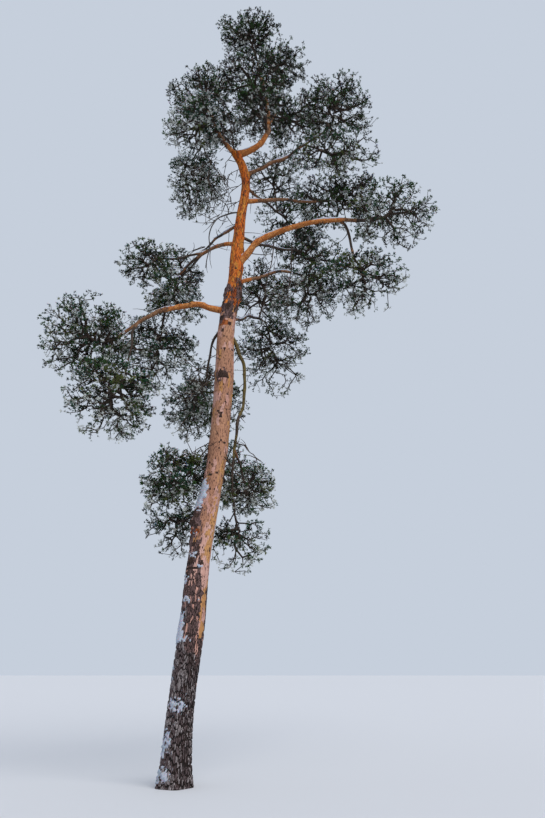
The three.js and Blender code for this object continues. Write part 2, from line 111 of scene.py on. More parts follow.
# The boughs: what each leaves and where (a height on the trunk, a share of a bough), its tip, its slope in
# degrees as it leaves and as it ends, and its first and last diameter.
BOUGHS = (
    Bough("bough_leader", "trunk", 12.36, (1.1, 0.1, 15.45), 20, 100, (0.14, 0.05)),
    Bough("bough_left_top", "trunk", 12.34, (-0.06, -0.1, 13.6), 40, 50, (0.105, 0.05)),
    Bough("bough_left_hanging", "bough_left_top", 0.55, (-0.33, 0.45, 12.75), 10, -45, (0.048, 0.034)),
    Bough("bough_front_top", "bough_leader", 0.35, (1.25, -0.95, 13), 10, 5, (0.058, 0.04)),
    Bough("bough_back_top", "bough_leader", 0.45, (1.65, 1.05, 14.7), 45, 30, (0.062, 0.042)),
    Bough("bough_right_top", "trunk", 11.75, (2.56, 0, 12.93), 28, 42, (0.085, 0.045)),
    Bough("bough_right_middle", "trunk", 11.03, (2.56, 0.3, 11.28), 10, 8, (0.095, 0.045)),
    Bough("bough_back_right", "trunk", 11.45, (1.75, 1.75, 12.05), 10, 10, (0.062, 0.042)),
    Bough("bough_right_big", "trunk", 9.3, (3.18, -0.65, 9.99), 60, -16, (0.15, 0.075)),
    Bough("bough_right_low", "bough_right_big", 0.86, (3.18, -0.5, 9.05), -10, -50, (0.058, 0.042)),
    Bough("bough_right_inner", "trunk", 10.13, (2.02, 0.9, 10.42), -5, 20, (0.064, 0.042)),
    Bough("bough_right_arm", "trunk", 8.93, (2.07, 0.4, 9.42), 22, -6, (0.085, 0.045)),
    Bough("bough_back_low", "trunk", 8.15, (1.28, 1.45, 8.9), 20, 10, (0.062, 0.042)),
    Bough("bough_back_left", "trunk", 10.42, (-0.38, 1.56, 10.5), 20, -12, (0.062, 0.042)),
    Bough("bough_back_middle", "trunk", 7.25, (0.35, 1.5, 7.5), 20, 5, (0.058, 0.04)),
    Bough("bough_left_upper", "trunk", 9.88, (-0.48, 0.4, 9.44), 30, -48, (0.095, 0.045)),
    Bough("bough_left_reach", "bough_left_upper", 0.6, (-0.82, 0.15, 9.65), -10, 5, (0.05, 0.036)),
    Bough("dead_branch", "trunk", 10.7, (0.14, -0.3, 9.1), -5, -88, (0.038, 0.016)),
    Bough("bough_left_main", "trunk", 8.27, (-1.52, -0.2, 7.56), 14, -44, (0.13, 0.06), 0.5),
    Bough("bough_left_low", "bough_left_main", 0.82, (-1.18, -0.65, 6.5), -40, -65, (0.052, 0.038)),
    Bough("bough_left_inner", "bough_left_main", 0.55, (-0.8, 0.48, 8.15), 5, -30, (0.05, 0.036)),
    Bough("bough_left_middle", "trunk", 7.93, (0.19, 0.33, 7.08), 5, -85, (0.058, 0.04)),
    Bough("bough_low_left", "trunk", 5.45, (0.12, 0.33, 5.18), -10, -30, (0.052, 0.038)),
    Bough("bough_hanging", "trunk", 7.85, (0.765, 0.16, 5.24), -20, -95, (0.075, 0.045), 0.27),
    Bough("bough_low_right", "bough_hanging", 0.94, (1, 0.6, 4.85), -20, -30, (0.046, 0.036)),
)
LIMB_WANDER = 0.014  # a bough's waver to its sides, as a share of its length
LIMB_WAVES = 1.5
CURVE_STEPS = 60  # for measuring the length of a curve
TRUNK_PLACES = 250  # places along the trunk, along a bough and along a stem that needles keep away from
BOUGH_PLACES = 50
STEM_PLACES = 12

# The masses: the limb that carries each and where, the centre and half sizes of the space it fills, and its
# number of sprays. In some, needles are fuller through the sprays or fill the room between them by a factor,
# a larger share of them is white with frost, or they are dark, as at the top of the crown, which is painted
# shade: masses there stand dark against the bright sky.
MASSES = (
    Mass("foliage_tip", "bough_leader", TIP, (0.87, 0.05, 16.25), (0.9, 0.58, 0.81), 11,
         full=1.3, top=True),
    Mass("foliage_tip_right", "bough_leader", 0.84, (1.68, 0.3, 15.51), (0.76, 0.65, 0.92), 9,
         full=1.3, top=True),
    Mass("foliage_upper_front", "bough_front_top", TIP, (1.05, -1.2, 13.13), (0.94, 0.7, 0.8), 10,
         full=1.2, top=True),
    Mass("foliage_upper_left", "bough_left_top", TIP, (-0.11, 0.1, 14.31), (0.96, 0.68, 0.8), 9,
         full=1.3, filled=3, top=True),
    Mass("foliage_left_outer", "bough_left_top", 0.62, (-0.19, -0.5, 12.66), (0.78, 0.72, 0.82), 8,
         filled=6, white=0.25),
    Mass("foliage_left_hanging", "bough_left_hanging", TIP, (-0.27, 0.65, 12.07), (0.71, 0.88, 1.04), 11,
         filled=3, white=0.2),
    Mass("foliage_upper_middle", "bough_leader", 0.5, (1.22, 0.5, 14.13), (0.97, 0.75, 0.81), 8,
         full=1.4, filled=3, top=True),
    Mass("foliage_fork", "bough_left_top", 0.3, (0.23, 1.1, 14.33), (0.68, 0.75, 0.52), 8,
         full=1.4, filled=4, top=True),
    Mass("foliage_upper_back", "bough_back_top", TIP, (1.99, 1.6, 15.02), (1.22, 1, 0.87), 10,
         full=1.2, top=True),
    Mass("foliage_right_top", "bough_right_top", TIP, (2.97, 0, 13.78), (1.02, 0.78, 0.89), 11,
         full=1.1, filled=2.5, top=True),
    Mass("foliage_right_crest", "bough_right_top", 0.8, (2.87, -0.4, 11.93), (1.02, 0.7, 0.72), 8,
         filled=2.5),
    Mass("foliage_right_middle", "bough_right_middle", TIP, (2.98, 0.5, 11.51), (1.12, 0.8, 0.81), 9,
         full=1.1, filled=2.5, top=True),
    Mass("foliage_right_outer", "bough_right_big", TIP, (3.86, -0.7, 10.09), (0.94, 0.85, 0.79), 9),
    Mass("foliage_right_low", "bough_right_low", TIP, (3.27, -0.45, 8.67), (0.9, 0.9, 0.74), 9),
    Mass("foliage_right_inner", "bough_right_inner", TIP, (2.44, 1.35, 10.4), (0.98, 0.9, 0.85), 9),
    Mass("foliage_right_arm", "bough_right_arm", TIP, (2.2, 0.45, 8.85), (0.91, 0.9, 0.75), 8, white=0.12),
    Mass("foliage_back_upper", "bough_back_right", 0.85, (1.47, 1.95, 13.57), (0.94, 0.9, 0.97), 8,
         filled=2),
    Mass("foliage_back_centre", "bough_back_low", 0.9, (1.27, 2.2, 9.94), (0.87, 1, 1.04), 9),
    Mass("foliage_low_back", "trunk", 5.15, (0.46, 1.65, 5.35), (0.76, 0.9, 0.81), 8),
    Mass("foliage_back_low", "bough_back_low", TIP, (1.47, 1.8, 8.19), (0.91, 1, 0.99), 10),
    Mass("foliage_back_right", "bough_back_right", TIP, (2.02, 2.2, 12.01), (1.12, 1, 0.94), 9),
    Mass("foliage_back_left", "bough_back_left", TIP, (-0.94, 2.1, 10.36), (0.82, 0.98, 0.9), 8),
    Mass("foliage_back_middle", "bough_back_middle", TIP, (0.18, 2.1, 7.03), (0.84, 0.95, 0.91), 8),
    Mass("foliage_left_reach", "bough_left_reach", TIP, (-1.08, 0.05, 9.38), (0.76, 0.66, 0.59), 8),
    Mass("foliage_left_upper", "bough_left_upper", TIP, (-0.6, 0.62, 8.86), (0.71, 0.9, 0.82), 8),
    Mass("foliage_left_main", "bough_left_main", TIP, (-2.11, -0.2, 7.53), (0.99, 0.92, 0.95), 14,
         full=1.15),
    Mass("foliage_left_low", "bough_left_low", TIP, (-1.35, -0.85, 5.98), (0.87, 0.92, 0.85), 12,
         full=1.15),
    Mass("foliage_left_inner", "bough_left_inner", TIP, (-0.93, 0.8, 7.68), (1.02, 0.98, 1.05), 10,
         full=1.15),
    Mass("foliage_left_middle", "bough_left_middle", TIP, (-0.2, 1, 6.71), (0.64, 0.95, 1.06), 9,
         white=0.12),
    Mass("foliage_low_left", "bough_low_left", TIP, (-0.32, 0.35, 4.79), (0.69, 0.9, 0.82), 11, full=1.15),
    Mass("foliage_low_left_end", "trunk", 4.25, (-0.39, 0.85, 4.14), (0.64, 0.8, 0.66), 7),
    Mass("foliage_low_right", "bough_low_right", TIP, (0.98, 0.85, 4.77), (0.63, 0.9, 0.85), 9, white=0.1),
    Mass("foliage_low_right_end", "bough_hanging", TIP, (0.86, 0.85, 3.86), (0.63, 0.8, 0.71), 8),
)

# How a mass grows: its stem, the forks along it, and the sprays that reach from them to its shell.
STEM_SHARE = 0.92
STEM_TAPER = 0.7
SIDE_STEM_DIAMETER = 0.048
FORKS = (0.3, 0.96)
SPRAY_LENGTH = (0.86, 1.18)
SPRAY_REACH = 0.94
SPRAY_TEETH = ((-48, 0.88), (-17, 1.0), (17, 0.96), (48, 0.84))
HEADING_OUTWARD = 0.3
HEADING_AHEAD = 0.2
HEADING_WAY = 0.8
SPRAY_ROLL = 0.8
ROLL_SPREAD = 1.2
SPRAY_TRIES = 8
TRY_TURN = 0.8
TRY_STRAIGHTEN = 0.2
TRY_LENGTH = 0.94
TRY_REACH = 0.97
SHELL = (0.92, 1.02)
TIP_DRAW = 0.05
TIP_LEAST = 0.4
SPACE_MARGIN = 1.06
NEIGHBOUR_GAP = 0.012
LIMB_CLEARANCE = 0.04
GOLDEN_ANGLE = math.pi * (3 - math.sqrt(5))
SEED = 1707

# Where the trunk's bark changes, in metres above the ground. Places round the trunk are turns in degrees
# from +X, so that 270 faces the camera.
PLATES_END = 2.25
PLATES_FADE = 0.5
SMOOTH_SIDE = 335
EDGE_DROP = 0.6  # how much lower the plates end on the smooth side
BROWN_FADE = (3.4, 4.1)  # the brown flakes above the plates thin out between these heights
BROWN_DROP = 0.8  # how much lower they do so on the smooth side
BROWN_AGAIN = (7.95, 8.2)  # they come back between these heights, and end between the next
BROWN_END = (8.7, 8.95)
BROWN_AGAIN_SHARE = 0.6
PALE_FROM = 0.8  # above the next band a flake whose number is higher is pale
PALE_BAND = (3.9, 4.7)
PALE_MORE = 0.45  # how much lower that number is below the band
# Tawny flakes gather on the side of the trunk that faces the light: partly the bark's own colour, partly
# painted light.
TAWNY_LIT_SIDE = 345
TAWNY_BAND = (4.5, 5.5)
TAWNY_SHARES = (0.4, 0.12)  # the share of tawny flakes that this side adds, below and above the band
TAWNY_LEAST = 0.08
SALMON_END = 8.4
AMBER_BELOW = 0.2  # an orange flake whose number is lower is amber, and one above the next is rust
RUST_ABOVE = 0.82
SMOOTH_FROM = 0.3  # a side's own bark starts where the cosine of the turn from it passes this
TAWNY_FROM = 0.4

# The depths of the bark, in metres.
PLATE_GRAIN = 0.004
FLAKE_LIFT = 0.006
FLAKE_GRAIN = 0.002
TRUNK_SWELLINGS = 0.009

# The form of plates and flakes, as shares: of the depth of the cracks between plates, or of the way from the
# edge of a plate or flake to its middle. Each plate and flake has its own number from 0 to 1.
BROWN_DEPTH = 0.5  # the depth of the cracks between brown flakes
PLATE_RISE = (0.1, 0.4)  # where a plate rises from its crack to its face
PLATE_SUNK = 0.7  # the deepest of a crack, below the solid's surface
PLATE_UNEVEN = 0.4
FLAKE_RISE = 0.12
BLEACHED_ABOVE = 0.6  # a plate whose number is higher is bleached
FISSURE_EDGE = 0.3
FISSURE_LESS = 0.12  # how much narrower the crack round a plate is whose number is 1
BROWN_EDGE = 0.13
LOST_ABOVE = 0.85  # a brown flake whose number is higher has fallen off
BARE_PALE_BELOW = 0.2
FLAKE_EDGE = 0.05
FLAKE_EDGE_GAPS = 0.05  # the edges of flakes are dark only where noise along them is higher

# Knots and burls: where each is, its size and how far it stands out.
BURL = 0.09  # a knot larger than this is a burl, and most of its flakes are brown
BURL_SHARE = 0.6
BURL_REACH = 1.1  # how far that brown bark reaches, as a share of the burl's size
KNOT_CORE = 0.55  # the same for a knot's dark middle, its swelling and the hollow in it
KNOT_WIDTH = 0.8
KNOT_HOLLOW = 0.3
KNOTS = (
    Knot(8.72, 186, 0.14, 0.07),
    Knot(8.42, 200, 0.11, 0.035),
    Knot(8.6, 345, 0.13, 0.065),
    Knot(8.85, 322, 0.092, 0.03),
    Knot(8.3, 262, 0.1, 0.02),
    Knot(8.05, 232, 0.095, 0.02),
    Knot(7.92, 292, 0.07, 0.02),
    Knot(7.76, 250, 0.05, 0.015),
    Knot(7.35, 270, 0.045, 0.012),
    Knot(6.82, 255, 0.11, 0.035),
    Knot(6.8, 285, 0.08, 0.02),
    Knot(6.9, 190, 0.05, 0.02),
    Knot(6.42, 247, 0.032, 0.014),
    Knot(6.4, 300, 0.036, 0.014),
    Knot(6.06, 256, 0.06, 0.012),
    Knot(5.96, 272, 0.055, 0.012),
    Knot(7.62, 262, 0.035, 0.014),
    Knot(7.5, 285, 0.03, 0.012),
    Knot(7.2, 240, 0.028, 0.01),
    Knot(5.46, 278, 0.026, 0.01),
    Knot(5.34, 280, 0.026, 0.01),
    Knot(5.2, 276, 0.022, 0.01),
    Knot(5.42, 195, 0.05, 0.02),
    Knot(4.92, 198, 0.05, 0.02),
    Knot(4.86, 245, 0.03, 0.008),
    Knot(4.8, 345, 0.06, 0.02),
    Knot(9.2, 275, 0.04, 0.012),
    Knot(9.75, 350, 0.06, 0.02),
    Knot(10.3, 200, 0.04, 0.015),
    Knot(11.2, 280, 0.035, 0.012),
    Knot(4.13, 198, 0.16, 0.11),
    Knot(3.98, 214, 0.1, 0.07),
    Knot(3.74, 196, 0.11, 0.055),
    Knot(4.1, 230, 0.06, 0.025),
    Knot(3.92, 236, 0.05, 0.02),
    Knot(3.62, 236, 0.075, 0.03),
    Knot(3.55, 262, 0.05, 0.015),
    Knot(3.32, 236, 0.085, 0.03),
    Knot(3.28, 290, 0.06, 0.016),
    Knot(3.1, 222, 0.07, 0.018),
)

# Where plates fell off young bark, where bark has reddened, and the cracks that run across the trunk.
BARE_PATCHES = (
    Patch(2.5, 325, 0.14, 0.75),
    Patch(3.55, 324, 0.15, 0.5),
    Patch(4.15, 324, 0.15, 0.6),
    Patch(3.8, 228, 0.12, 0.12),
)
REDDENED_PATCHES = (
    Patch(3.84, 214, 0.26, 0.1),
    Patch(7.93, 250, 0.2, 0.16, cover=0.9),
    Patch(8.6, 290, 0.08, 0.3, cover=0.8),
)
CRACKS_ACROSS = (
    Crack(3.2, 262, 0.2, 0.012),
    Crack(3.42, 240, 0.1, 0.01),
    Crack(4.88, 250, 0.14, 0.01),
    Crack(5.46, 300, 0.06, 0.01),
    Crack(6.77, 262, 0.16, 0.014),
)
CRACK_WAVER = 0.05
CRACK_DEPTH = 0.5  # as a share of its width

# Dead branches without needles that show inside the crown: the first radius and the points of each.
BARE_BRANCHES = (
    BareBranch(0.02, ((0.49, 0, 12.75), (0.15, -0.04, 12.85), (-0.06, -0.08, 12.69), (-0.02, -0.12, 12.3),
                      (0.13, -0.17, 11.94), (0.3, -0.21, 11.65), (0.49, -0.25, 11.23))),
    BareBranch(0.011, ((0.13, -0.2, 11.97), (0.09, -0.23, 11.55), (0.14, -0.25, 11.2), (0.32, -0.28, 11.02),
                       (0.5, -0.3, 10.78))),
    BareBranch(0.009, ((0.13, -0.2, 11.97), (-0.09, -0.3, 11.7), (-0.34, -0.4, 11.39))),
    BareBranch(0.011, ((-0.01, -0.15, 12.28), (-0.17, -0.25, 12), (-0.21, -0.3, 11.62))),
    BareBranch(0.013, ((1.51, -0.2, 9.78), (1.49, -0.18, 9.48), (1.39, -0.15, 9.04), (1.31, -0.12, 8.46),
                       (1.28, -0.1, 7.93))),
    BareBranch(0.012, ((1.88, -0.2, 9.72), (1.85, -0.27, 8.96), (1.79, -0.33, 8.56), (1.8, -0.4, 8.12))),
    BareBranch(0.012, ((0.05, 0.12, 9.93), (-0.19, 0.1, 9.81), (-0.45, 0.1, 9.53))),
    BareBranch(0.013, ((0.4, 0, 6.84), (0.16, -0.07, 6.85), (-0.03, -0.13, 6.99), (-0.22, -0.2, 7.13))),
    BareBranch(0.012, ((0.4, 0, 6.82), (0.17, -0.07, 6.62), (0.05, -0.13, 6.45), (-0.06, -0.2, 6.28))),
    BareBranch(0.01, ((0.35, 0, 5.5), (0.12, 0.03, 5.38), (-0.07, 0.07, 5.27), (-0.25, 0.1, 5.25))),
    BareBranch(0.01, ((0.35, 0, 5.46), (0.18, 0.03, 5.24), (0.01, 0.07, 5.18), (-0.13, 0.1, 5.06))),
    BareBranch(0.014, ((0.62, -0.05, 5.2), (0.76, -0.1, 5.01), (0.85, -0.15, 4.85), (0.98, -0.2, 4.71))),
    BareBranch(0.012, ((0.75, 0.16, 5.6), (1, -0.05, 5.37), (1.12, -0.2, 5.19), (1.3, -0.3, 5))),
    BareBranch(0.014, ((0.62, 0.02, 12.45), (0.56, -0.13, 13), (0.46, -0.07, 13.43), (0.3, 0, 13.91))),
    BareBranch(0.012, ((0.64, 0.02, 12.45), (0.5, -0.2, 12.8), (0.56, -0.1, 13.21), (0.73, 0, 13.63))),
    BareBranch(0.009, ((0.66, 0.0, 12.5), (0.44, 0.03, 12.13), (0.4, 0.07, 11.74), (0.51, 0.1, 11.27))),
    BareBranch(0.008, ((0.82, 0.0, 12.0), (0.51, 0.03, 11.78), (0.46, 0.07, 11.36), (0.32, 0.1, 10.96))),
    BareBranch(0.008, ((0.86, 0.0, 11.6), (0.54, 0.03, 11.27), (0.42, 0.07, 10.87), (0.2, 0.1, 10.55))),
    BareBranch(0.008, ((0.84, 0.0, 11.1), (0.55, 0.03, 10.9), (0.46, 0.07, 10.55), (0.3, 0.1, 10.3))),
    BareBranch(0.007, ((0.28, 0.1, 12.0), (0.45, 0.07, 11.65), (0.55, 0.03, 11.2), (0.66, 0.0, 10.88))),
)

# The snow that lies on the trunk: ledges on its raised left side and plastered patches.
SNOW_PATCHES = (
    Patch(4.5, 205, 0.24, 0.5, 0.036, 1.25),
    Patch(4.32, 202, 0.2, 0.18, 0.03, 1.2),
    Patch(3.84, 228, 0.1, 0.08, 0.02, 0.7),
    Patch(3.45, 235, 0.22, 0.16, 0.014, 0.45),
    Patch(3.28, 285, 0.2, 0.1, 0.014, 0.5),
    Patch(3.05, 205, 0.16, 0.3, 0.014, 0.45),
    Patch(2.72, 235, 0.2, 0.13, 0.018, 0.6),
    Patch(2.7, 285, 0.1, 0.08, 0.014, 0.6),
    Patch(2.27, 202, 0.22, 0.42, 0.022, 1.15),
    Patch(2.1, 245, 0.2, 0.12, 0.01, 0.4),
    Patch(1.14, 252, 0.38, 0.26, 0.015, 0.54),
    Patch(1.6, 200, 0.12, 0.5, 0.01, 0.4),
    Patch(0.58, 214, 0.28, 0.46, 0.014, 0.6),
    Patch(0.16, 215, 0.34, 0.26, 0.016, 0.62),
)

# The kinds of bark on the trunk and on the boughs, in the order of their finishes.
PLATES, FISSURES, SALMON, ORANGE, SCAR, PALE_PLATES, BROWN, PALE_SALMON, TAWNY, AMBER, RUST = range(11)
PEELING, BROWN_BOUGH, ROUGH_TWIG, DEAD, ALGAE = range(5)

# The finishes of bark: the setting that holds the colour of each, its paler and its dark colour, the sizes
# of its blotches and its grain and the depth of its grain in metres, and how much of it is dark cracks. The
# grain is coarser than that of real bark, as coarse as it needs to be to show.
TRUNK_FINISHES = (
    # Plates of dead bark: grey and dull, and brown at their broken edges.
    Finish("plated_pine_bark", "plated", "736769", "352a2a", 0.06, 0.012, 0.006),
    # The bottoms of the cracks between plates: nearly black in their own shade.
    Finish("bark_fissures", "hollow", "33251f", "120d0b", 0.05, 0.01, 0.004),
    # Paper-thin flakes over pinkish young bark: dull, with paler patches where flakes came off.
    Finish("flaking_pine_bark", "salmon", "ad8064", "4a3029", 0.2, 0.018, 0.003, 0.3),
    # The thin orange bark of the upper trunk, with dark lines where it peels.
    Finish("orange_pine_bark", "orange", "cf7a35", "652e12", 0.16, 0.024, 0.003, 0.42),
    # The hard bark of old knots and the dark edges of some flakes.
    Finish("old_knots", "scar", "4c382f", "1c1310", 0.04, 0.01, 0.004),
    # Faces of plates that weather has bleached: the palest grey of the lower trunk.
    Finish("bleached_plates", "bleached", "a49c9e", "3b3232", 0.05, 0.012, 0.006),
    # Thicker flakes that stay on above the plates: a dull brown.
    Finish("brown_flaking_bark", "brown", "806664", "2e211e", 0.06, 0.014, 0.005),
    # Young bark from which a flake has just come off: pale and pinkish.
    Finish("pale_flaking_bark", "pale", "c19a8e", "4a3029", 0.2, 0.018, 0.003, 0.25),
    # Flakes with a yellow cast.
    Finish("tawny_flaking_bark", "tawny", "ba8b5c", "4a3029", 0.2, 0.018, 0.003, 0.3),
    # Lighter flakes of the orange bark, and darker ones.
    Finish("amber_pine_bark", "amber", "cb8a3c", "5e2f17", 0.1, 0.02, 0.003, 0.4),
    Finish("rust_pine_bark", "rust", "a5602f", "421f12", 0.1, 0.02, 0.003, 0.45),
)
BOUGH_FINISHES = (
    # Thin orange bark that peels in papery scales.
    Finish("peeling_bough_bark", "orange", "d99a5a", "7d4526", 0.1, 0.014, 0.003),
    # Older bark towards the tips: brown and dull.
    Finish("brown_bough_bark", "brown", "9c7a5c", "4a3226", 0.07, 0.012, 0.003),
    # The rough bark of twigs, with the stumps of old needles: grey brown.
    Finish("rough_twig_bark", "twig", "5f5147", "261e1a", 0.05, 0.01, 0.002),
    # Wood that has lost its bark and weathered to a dry grey.
    Finish("dead_grey_wood", "dead", "6c6866", "2b2928", 0.05, 0.008, 0.002),
    # Bark in the crown's shade, green with algae.
    Finish("algae_green_bark", "algae", "75683b", "43361f", 0.08, 0.014, 0.003),
)
TWIG_FINISH = BOUGH_FINISHES[ROUGH_TWIG]._replace(material="twig_bark")
GRAIN_STRETCH = 0.35  # grain is longer up the stem than round it

# The make of the trunk's mesh and of its snow.
PLATE_COLUMNS = 42  # plates round the trunk
FLAKE_COLUMNS = 16
CELL_EDGE = 0.15  # the middle of a plate or flake keeps this far from the edge of its square of the grid
CELL_ROOM = 0.7
FINE_END = 3.2  # above this height the rows of points stand further apart
SNOW_STEP = 0.015  # the distance between the points of the snow on the trunk
SNOW_SUNK = 0.012  # how deep in the bark that snow starts
SNOW_ROOM = 0.75  # how far a patch's shell reaches to each side of its middle, as a share of its size
SNOW_EDGE = 0.1  # where less of its snow is held than this, none is

# The make of the boughs: their crooks, their broken side twigs, and how far along them orange bark reaches.
BOUGH_STEP = 0.045
BOUGH_COLUMNS = 14
CROOK = 0.035
CROOKED_LENGTH = 1.5  # a shorter bough has smaller crooks
COLLAR_RISE = 0.16  # how far the trunk swells round a bough, as a share of its thickness, and how widely
COLLAR_REACH = 0.95
FOOT_SWELL = 0.35  # how much thicker a bough is at its foot and at its knots, as a share
KNOT_SWELL = 0.16
FOOT_SUNK = 0.3  # how far its foot starts inside what carries it, as a share of its thickness
FOOT_SUNK_OVER = 0.03
BOUGH_BUMPS = 0.12  # as a share of its radius
KIND_STRAY = 0.012  # how raggedly its kinds of bark meet, in metres of radius and as a share of its length
END_STRAY = 0.1
ORANGE_ENDS = {"bough_leader": 0.3, "bough_left_main": 0.55, "bough_left_top": 0.25}
ALL_OF_IT = 1.1  # past the end of a bough
ORANGE_RADIUS = 0.044  # thicker than this a bough is orange, and thicker than the next it is brown
BROWN_RADIUS = 0.028
ALGAE_RADIUS = 0.024
STUBS_PER_METRE = 3.2
TRUNK_STUBS = 30
STUBBED_TRUNK = (4.9, 12.2)
STUB_LENGTH = (0.06, 0.55)
STUB_RADIUS = (0.007, 0.011)
STUB_END = 0.003
STUB_AHEAD = 0.6  # how much a stub leans towards its bough's tip
STUB_POINTS = 5
BRANCH_WAVER = 0.022
STEM_WAVER = 0.012
STEM_POINTS = 9
TWIG_POINTS = 6
TWIG_FOOT = 1.25  # how much thicker a spray's twig is at its fork

# Snow along a bough. Its section is given as degrees from the top, and heights as shares of its depth.
FLAT_ENOUGH = 0.75  # the steepest slope that holds snow
SNOW_GAPS = -0.3  # it has gaps where the noise along the bough is lower
SHORTEST_STRIP = 3
STRIP_SIZES = (0.7, 1.2)
STRIP_PROFILE = ((-60, -0.1), (-42, 0.45), (-15, 0.95), (15, 1.0), (42, 0.5), (60, -0.1))

# How twigs and needles grow.
FAN_EDGE = 6  # degrees that a spray's pads reach past its outer teeth
FAN_START = 0.1  # the share of a spray's area, next to its root, without pads
SPACE_START = 0.15  # the share of a mass's space, round its centre, without pads between sprays
AIRY_BAND = (-0.85, 0.25)  # a mass thins out below, between these heights as shares of its half height
PAD_SPREAD = 1.5  # the furthest that a shoot stands from its pad's middle, as a share of the usual
SHOOT_SIZES = (0.75, 1.15)
SHOOT_OUT = 0.4  # how much a shoot points out of its mass, away from its pad's middle, up, and anywhere
SHOOT_ASIDE = 0.45
SHOOT_UP = 0.5
SHOOT_STRAY = 0.3
LONGEST = 1.08  # the longest needles and stems of a shoot, as a share of the usual
UNDER_LIMB = 0.05  # needles nearer to a limb than their bare reach stand at least this much above its middle
WAY_BACK = 0.3  # how much the way back to the stem counts when a twig looks for the nearest one
PIPE_POWER = 2.3  # a limb carries as much as its twigs: radius to this power adds up
TWIG_TAPER = 1.3  # the most that one twig is thicker at its foot than at its end
SHOOT_VARIANTS = 9
TUFT_LEAN = (14, 72)  # degrees
TUFT_STRAY = 0.4
TUFT_REACH = (0.5, 1.15)
NEEDLE_OPENING = (84, 18)  # degrees from the stem, of a tuft's first needle and its last
NEEDLE_STRAY = 0.15
NEEDLE_LENGTHS = (0.8, 1.15)
TUFT_DEPTH = 0.3  # how far down its stem a needle can start, as a share of its length
BLADE_FACES = ((0, 1, 3), (1, 2, 3))
MOST_TRIANGLES = 195000

# How the needles' colours are dealt: those at the top of the crown are darker, as painted shade, and low
# ones are whiter.
NEEDLE_KINDS = ("deep", "middle", "blue", "olive", "frosted")
GREEN_SHARES = (0.34, 0.34, 0.2, 0.12)  # of the first four kinds
PATCH_SIZE = 0.42  # how far needles of one colour reach
PATCHED_SHARE = 0.7  # the share of the shoots that keep to the colour of their patch
FROSTED_BAND = (-0.6, 0.45)  # heights in a mass as shares of its half height
FROSTED_SHARES = (0.03, 0.32)  # of the shoots above that band, and of those below it
# Painted shade: at the top of the crown, colours lean to the darkest and fewer needles are frosted.
TOP_SHADE_DEAL = 0.62  # draws the colours at the top towards the first, which is the darkest
TOP_FROST = 0.06  # the share fewer that are frosted there
LOW_FROST = 0.07  # the share more that are frosted in masses below this band of heights
LOW_BAND = (6.0, 12.5)

# The snow that is caught among the needles: the half sizes of a lump, and where on its shoot it lies.
LUMP_HALVES = (0.021, 0.03, 0.015)
LUMP_SIZES = (0.6, 1.3)
LUMP_COLUMNS = 5
LUMP_UNEVEN = 0.22
LUMP_ROWS = ((1.0, -0.35), (0.75, 0.8))  # its rim and its top: how wide each is and how high it lies
LUMP_FLATNESS = 0.4
CAUGHT_ABOVE = (-0.5, 0.45)  # metres above a mass's middle between which more and more shoots hold snow
CAUGHT_RISE = (-0.3, 0.4)  # the same for how far a shoot points up
LUMP_AHEAD = 0.06
LUMP_ABOVE = 0.014

# The stage.
CAMERA_LENS_MM = 28
CAMERA_PLACE = (1.483, -11.023, 1.6)
CAMERA_TILT = 22.47
CAMERA_REACH = 1500
LIGHT_WIDTH = 60
LIGHT_TURN = (50, 0, 32)
LIGHT_COLOUR = (1.0, 0.96, 0.9)


def random_stream(seed):
    """The repeatable stream of numbers from 0 to 1 that the solids are grown by."""
    mask = 0xFFFFFFFF
    state = seed
    while True:
        state = (state + 0x6D2B79F5) & mask
        mixed = ((state ^ (state >> 15)) * (state | 1)) & mask
        mixed ^= (mixed + (mixed ^ (mixed >> 7)) * (mixed | 61)) & mask
        yield (mixed ^ (mixed >> 14)) / 4294967296


def unit(vectors):
    """Vectors at length 1."""
    return vectors / np.maximum(np.linalg.norm(vectors, axis=-1, keepdims=True), 1e-12)


def lerp(low, high, share):
    """The value at a share of the way from low to high."""
    return low + (high - low) * share


def smooth(low, high, values):
    """0 below low, 1 above high, and an even S between."""
    share = np.clip((values - low) / (high - low), 0, 1)
    return share * share * (3 - 2 * share)


def rough(points, size, seed=0):
    """Smooth noise from -1 to 1 over points in space, with swellings about as wide as size."""
    places = np.asarray(points) / size
    cells = np.floor(places).astype(np.int64)
    inside = places - cells
    inside = inside * inside * (3 - 2 * inside)
    total = np.zeros(len(places))
    for corner in np.ndindex(2, 2, 2):
        corner = np.array(corner)
        weight = np.prod(np.where(corner, inside, 1 - inside), axis=1)
        total += weight * hashed(cells + corner, seed)
    return 2 * total - 1


def hashed(cells, seed):
    """A number from 0 to 1 for each whole-number cell, the same on each run."""
    mixed = cells[..., 0] * 73856093 ^ cells[..., 1] * 19349663 ^ (seed + 1) * 83492791
    if cells.shape[-1] == 3:
        mixed = mixed ^ cells[..., 2] * 49979687
    mixed = (mixed ^ (mixed >> 13)) * 1274126177 & 0x7FFFFFFF
    return ((mixed ^ (mixed >> 16)) & 0xFFFFFF) / 0xFFFFFF


def on_curve(controls, shares):
    """Points at shares of the way along a Bezier curve."""
    share = np.atleast_1d(shares)[:, None]
    points = [np.asarray(control)[None] for control in controls]
    while len(points) > 1:
        points = [lerp(low, high, share) for low, high in zip(points, points[1:])]
    return points[0]


def wandering(points, size, seeds):
    """How points stray along each axis, from -1 to 1, with swings about as wide as size."""
    return np.stack([rough(points, size, seed) for seed in seeds], axis=1)


def angles_from(turns, facing):
    """Turns as angles to either side of another turn, in radians."""
    return (turns - facing + np.pi) % (2 * np.pi) - np.pi


def sloping(heading, slope):
    """A unit vector from a heading and a slope in degrees."""
    rise = math.radians(slope)
    return np.array((math.cos(heading) * math.cos(rise), math.sin(heading) * math.cos(rise), math.sin(rise)))


